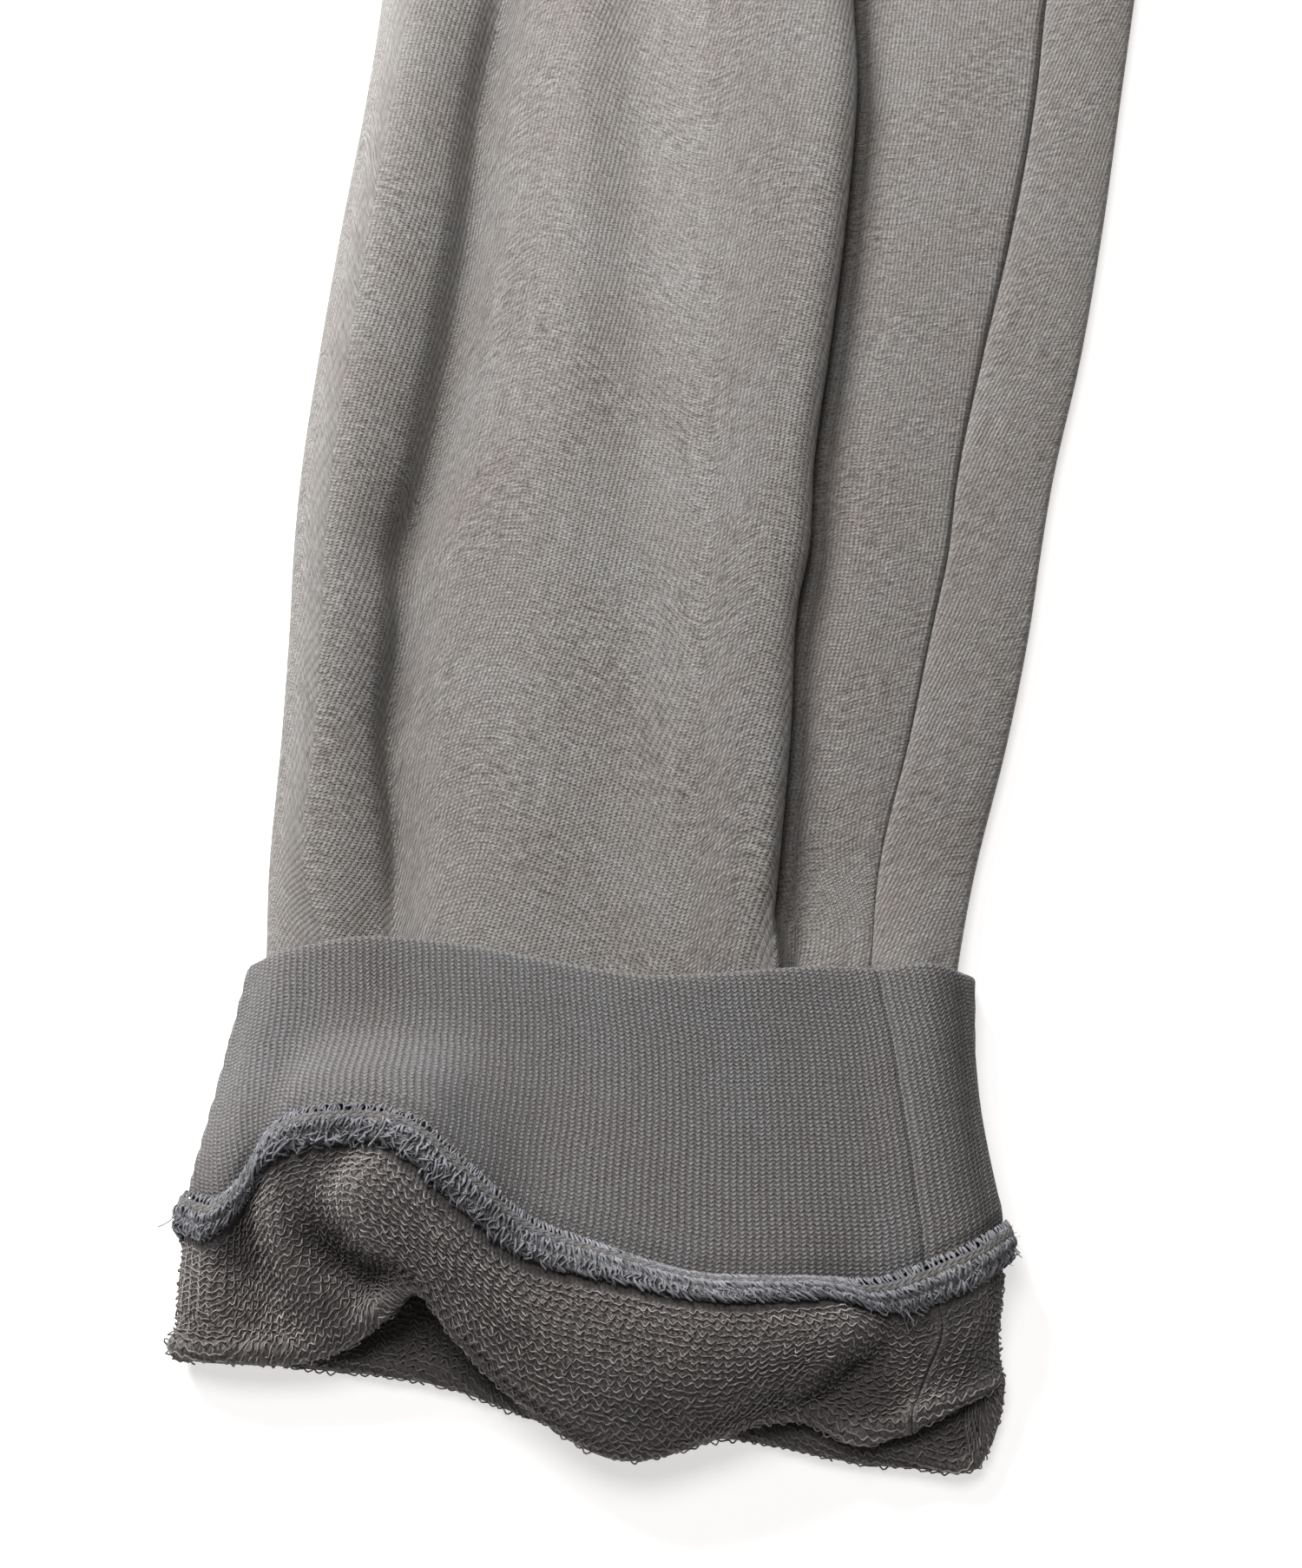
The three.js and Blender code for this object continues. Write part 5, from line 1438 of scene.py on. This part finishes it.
class MakeStage(bpy.types.Operator):
    """Make the floor, the lights and the camera"""
    bl_idname = "sweatpants.stage"
    bl_label = "Stage"

    def execute(self, context):
        scene, stage = context.scene, context.scene.sweatpants_stage
        self.floor()
        self.lights(scene, stage)
        self.camera(scene, stage)
        return {"FINISHED"}

    def floor(self):
        plane = bmesh.new()
        bmesh.ops.create_grid(plane, x_segments=1, y_segments=1, size=FLOOR_HALF)
        mesh = bpy.data.meshes.new("floor")
        plane.to_mesh(mesh)
        plane.free()
        mesh.materials.append(floor_material())
        floor = bpy.data.objects.new("floor", mesh)
        bpy.context.scene.collection.objects.link(floor)
        floor.location.z = -FLOOR_BELOW

    def lights(self, scene, stage):
        lights = table(["name", "x", "y", "z", "size", "power"], [
            ["key_light", -0.62, 0.3, 0.45, 0.36, stage.key],
            ["top_light", -0.4, 0.1, 1.2, 0.6, stage.key * 0.5],
        ])
        for light in lights:
            data = bpy.data.lights.new(light["name"], "AREA")
            data.shape = "DISK"
            data.size = light["size"]
            data.energy = light["power"]
            lamp = bpy.data.objects.new(light["name"], data)
            scene.collection.objects.link(lamp)
            place = Vector((light["x"], light["y"], light["z"]))
            lamp.matrix_world = Matrix.Translation(place) @ (
                LIGHTS_AIM - place).to_track_quat("-Z", "Y").to_matrix().to_4x4()
        world = bpy.data.worlds.new("soft_studio")
        world.use_nodes = True
        world.node_tree.nodes["Background"].inputs["Color"].default_value = (1, 1, 1, 1)
        world.node_tree.nodes["Background"].inputs["Strength"].default_value = stage.fill
        scene.world = world
        scene.view_settings.view_transform = "Standard"
        scene.view_settings.look = "Medium High Contrast"

    def camera(self, scene, stage):
        data = bpy.data.cameras.new("photo_camera")
        data.lens = stage.lens
        data.sensor_width = 36.0
        camera = bpy.data.objects.new("photo_camera", data)
        scene.collection.objects.link(camera)
        look = (CAMERA_LOOKS_AT - CAMERA_AT).normalized()
        right = look.cross(CAMERA_UP).normalized()
        up = right.cross(look)
        turn = Matrix((right, up, -look)).transposed().to_4x4()
        camera.matrix_world = Matrix.Translation(CAMERA_AT) @ turn
        scene.camera = camera


class SweatpantsPanel(bpy.types.Panel):
    """Lists the garment's settings and its operators"""
    bl_idname = "VIEW3D_PT_sweatpants"
    bl_label = "Jogger sweatpants"
    bl_space_type = "VIEW_3D"
    bl_region_type = "UI"
    bl_category = "Sweatpants"

    def draw(self, context):
        layout = self.layout
        for settings in ("sweatpants_colours", "sweatpants_knit", "sweatpants_stage"):
            group = getattr(context.scene, settings)
            box = layout.box()
            for name in group.__annotations__:
                box.prop(group, name)
        for operator in OPERATORS:
            layout.operator(operator.bl_idname)


OPERATORS = (MakeRightLeg, MakeLeftLeg, MakeCuffs, MakeWaistband, MakeLoops, MakeAllowance, MakeStage)
CLASSES = (SweatpantsColours, SweatpantsKnit, SweatpantsStage, *OPERATORS, SweatpantsPanel)


def register():
    for item in CLASSES:
        bpy.utils.register_class(item)
    add_settings()


def unregister():
    remove_settings()
    for item in reversed(CLASSES):
        bpy.utils.unregister_class(item)


def main():
    register()
    bpy.ops.sweatpants.right_leg()
    bpy.ops.sweatpants.left_leg()
    bpy.ops.sweatpants.cuffs()
    bpy.ops.sweatpants.waistband()
    bpy.ops.sweatpants.loops()
    bpy.ops.sweatpants.allowance()
    bpy.ops.sweatpants.stage()


if __name__ == "__main__":
    main()
